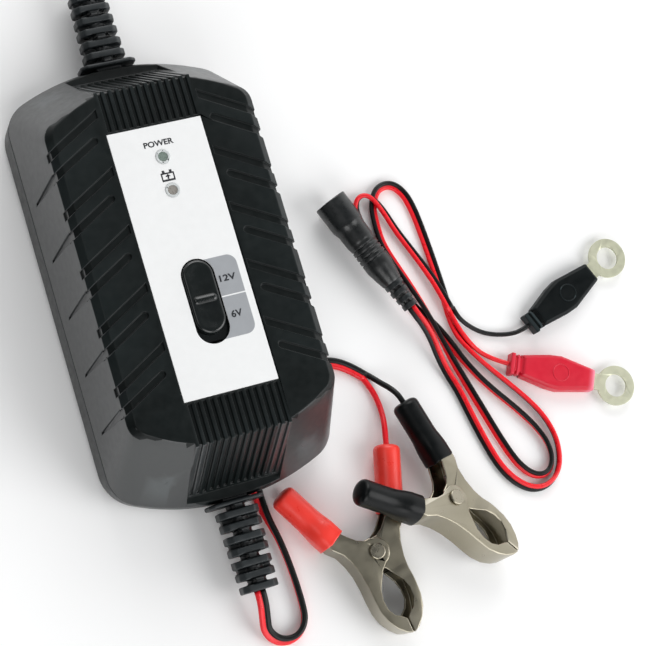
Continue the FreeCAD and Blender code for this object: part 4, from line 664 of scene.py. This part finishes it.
flat("print_battery", [rect(-2.5, 2.1, 26.5, 27.15), rect(-2.5, 2.1, 28.95, 29.45), rect(-2.5, -2.05, 27.05, 28.95), rect(1.65, 2.1, 27.05, 28.95),
                       rect(-1.9, -1.0, 29.4, 30.3), rect(0.6, 1.5, 29.4, 30.3), rect(-0.48, 0.08, 27.25, 28.1),
                       [(-1.15, 28.05), (0.75, 28.05), (-0.2, 28.95)]], M["print_dark"])

# ---------------------------------------------------------------- plain raised ring on the black boot


def torus(name, centre, major, minor, mat, body):
    bm = bmesh.new()
    rings = []
    for i in range(48):
        a = 2 * math.pi * i / 48
        d = Vector((math.cos(a), math.sin(a), 0))
        rings.append([bm.verts.new(centre + d * (major + minor * math.cos(2 * math.pi * j / 10)) + Vector((0, 0, minor * 0.8 * math.sin(2 * math.pi * j / 10))))
                      for j in range(10)])
    for i in range(48):
        for j in range(10):
            f = bm.faces.new((rings[i][j], rings[(i + 1) % 48][j], rings[(i + 1) % 48][(j + 1) % 10], rings[i][(j + 1) % 10]))
            f.smooth = True
    bmesh.ops.recalc_face_normals(bm, faces=bm.faces)
    me = bpy.data.meshes.new(name)
    bm.to_mesh(me)
    bm.free()
    me.materials.append(mat)
    ob = bpy.data.objects.new(name, me)
    LINK(ob)
    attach(ob, body)
    return ob


MOUTH_B = Vector((0.1278, -0.04565, 0.0054))
MOUTH_R = Vector((0.1156, -0.05735, 0.0054))
torus("black_boot_emboss", MOUTH_B + DB * 0.0195, 0.0031, 0.00024, M["boot_black"], "ring_lead")
torus("red_boot_emboss", MOUTH_R + DR * 0.0195, 0.0031, 0.00020, M["boot_red"], "ring_lead")



def flange(name, at, d, along, mat):
    """A plate with cut corners across the wire's entry into a boot."""
    q = Vector((-d.y, d.x, 0))
    bm = bmesh.new()
    rings = []
    for l, k in ((0.0, 0.30), (0.22, 0.0), (0.88, 0.0), (1.1, 0.30)):
        w, lo, hi, c = 3.75 - k, 0.5 + k, 4.9 - k, 0.8
        pts = [(w - c, lo), (w, lo + c), (w, hi - c), (w - c, hi), (c - w, hi), (-w, hi - c), (-w, lo + c), (c - w, lo)]
        rings.append([bm.verts.new(Vector((at.x, at.y, 0)) + d * ((along + l) * 0.001) + q * (x * 0.001) + Vector((0, 0, z * 0.001))) for x, z in pts])
    for a, b in zip(rings, rings[1:]):
        for j in range(8):
            bm.faces.new((a[j], a[(j + 1) % 8], b[(j + 1) % 8], b[j]))
    bm.faces.new(rings[0][::-1])
    bm.faces.new(rings[-1])
    bmesh.ops.recalc_face_normals(bm, faces=bm.faces)
    me = bpy.data.meshes.new(name)
    bm.to_mesh(me)
    bm.free()
    me.materials.append(mat)
    ob = bpy.data.objects.new(name, me)
    LINK(ob)
    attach(ob, "ring_lead")


flange("black_boot_flange", MOUTH_B, DB, 2.5, M["boot_black"])
flange("red_boot_flange", MOUTH_R, DR, 2.5, M["boot_red"])

# ---------------------------------------------------------------- floor, lights and world


def floor():
    me = bpy.data.meshes.new("floor")
    s = 4.0
    me.from_pydata([(-s, -s, -0.00006), (s, -s, -0.00006), (s, s, -0.00006), (-s, s, -0.00006)], [], [(0, 1, 2, 3)])
    m = bpy.data.materials.new("floor")
    m.use_nodes = True
    p = m.node_tree.nodes["Principled BSDF"]
    p.inputs["Base Color"].default_value = (0.96, 0.96, 0.96, 1)
    p.inputs["Roughness"].default_value = 0.9
    p.inputs["Specular IOR Level"].default_value = 0.1
    me.materials.append(m)
    ob = bpy.data.objects.new("floor", me)
    LINK(ob)


def area(name, at, size, power):
    d = bpy.data.lights.new(name, "AREA")
    d.shape = "DISK"
    d.size = size
    d.energy = power
    ob = bpy.data.objects.new(name, d)
    LINK(ob)
    ob.location = at
    ob.rotation_euler = (Vector((0.03, -0.03, 0.0)) - Vector(at)).to_track_quat("-Z", "Y").to_euler()


def world():
    w = bpy.data.worlds.new("world")
    bpy.context.scene.world = w
    w.use_nodes = True
    nt = w.node_tree
    N, L = nt.nodes.new, nt.links.new
    bg = nt.nodes["Background"]
    tc = N("ShaderNodeTexCoord")
    sx = N("ShaderNodeSeparateXYZ")
    L(tc.outputs["Generated"], sx.inputs[0])
    cr = N("ShaderNodeValToRGB")
    e = cr.color_ramp.elements
    e[0].position, e[0].color = 0.0, (1.5, 1.5, 1.5, 1)
    e[1].position, e[1].color = 0.80, (0.16, 0.165, 0.17, 1)
    mid = cr.color_ramp.elements.new(0.45)
    mid.color = (1.15, 1.15, 1.15, 1)
    L(sx.outputs["Z"], cr.inputs[0])
    side = N("ShaderNodeMapRange")
    side.inputs["From Min"].default_value, side.inputs["From Max"].default_value = -0.75, -0.2
    side.inputs["To Min"].default_value, side.inputs["To Max"].default_value = 0.05, 1.0
    L(sx.outputs["X"], side.inputs["Value"])
    mx = N("ShaderNodeVectorMath")
    mx.operation = "SCALE"
    L(cr.outputs[0], mx.inputs[0])
    L(side.outputs[0], mx.inputs["Scale"])
    L(mx.outputs[0], bg.inputs["Color"])
    bg.inputs["Strength"].default_value = 1.0


floor()
area("right", (1.15, -0.75, 1.15), 1.3, 14.0)
area("back", (0.45, 1.35, 1.05), 1.3, 11.5)
area("front", (-0.45, -1.35, 1.10), 1.3, 10.5)
area("left", (-0.85, 0.30, 1.55), 1.0, 2.5)
world()
bpy.context.scene.view_settings.view_transform = "Standard"
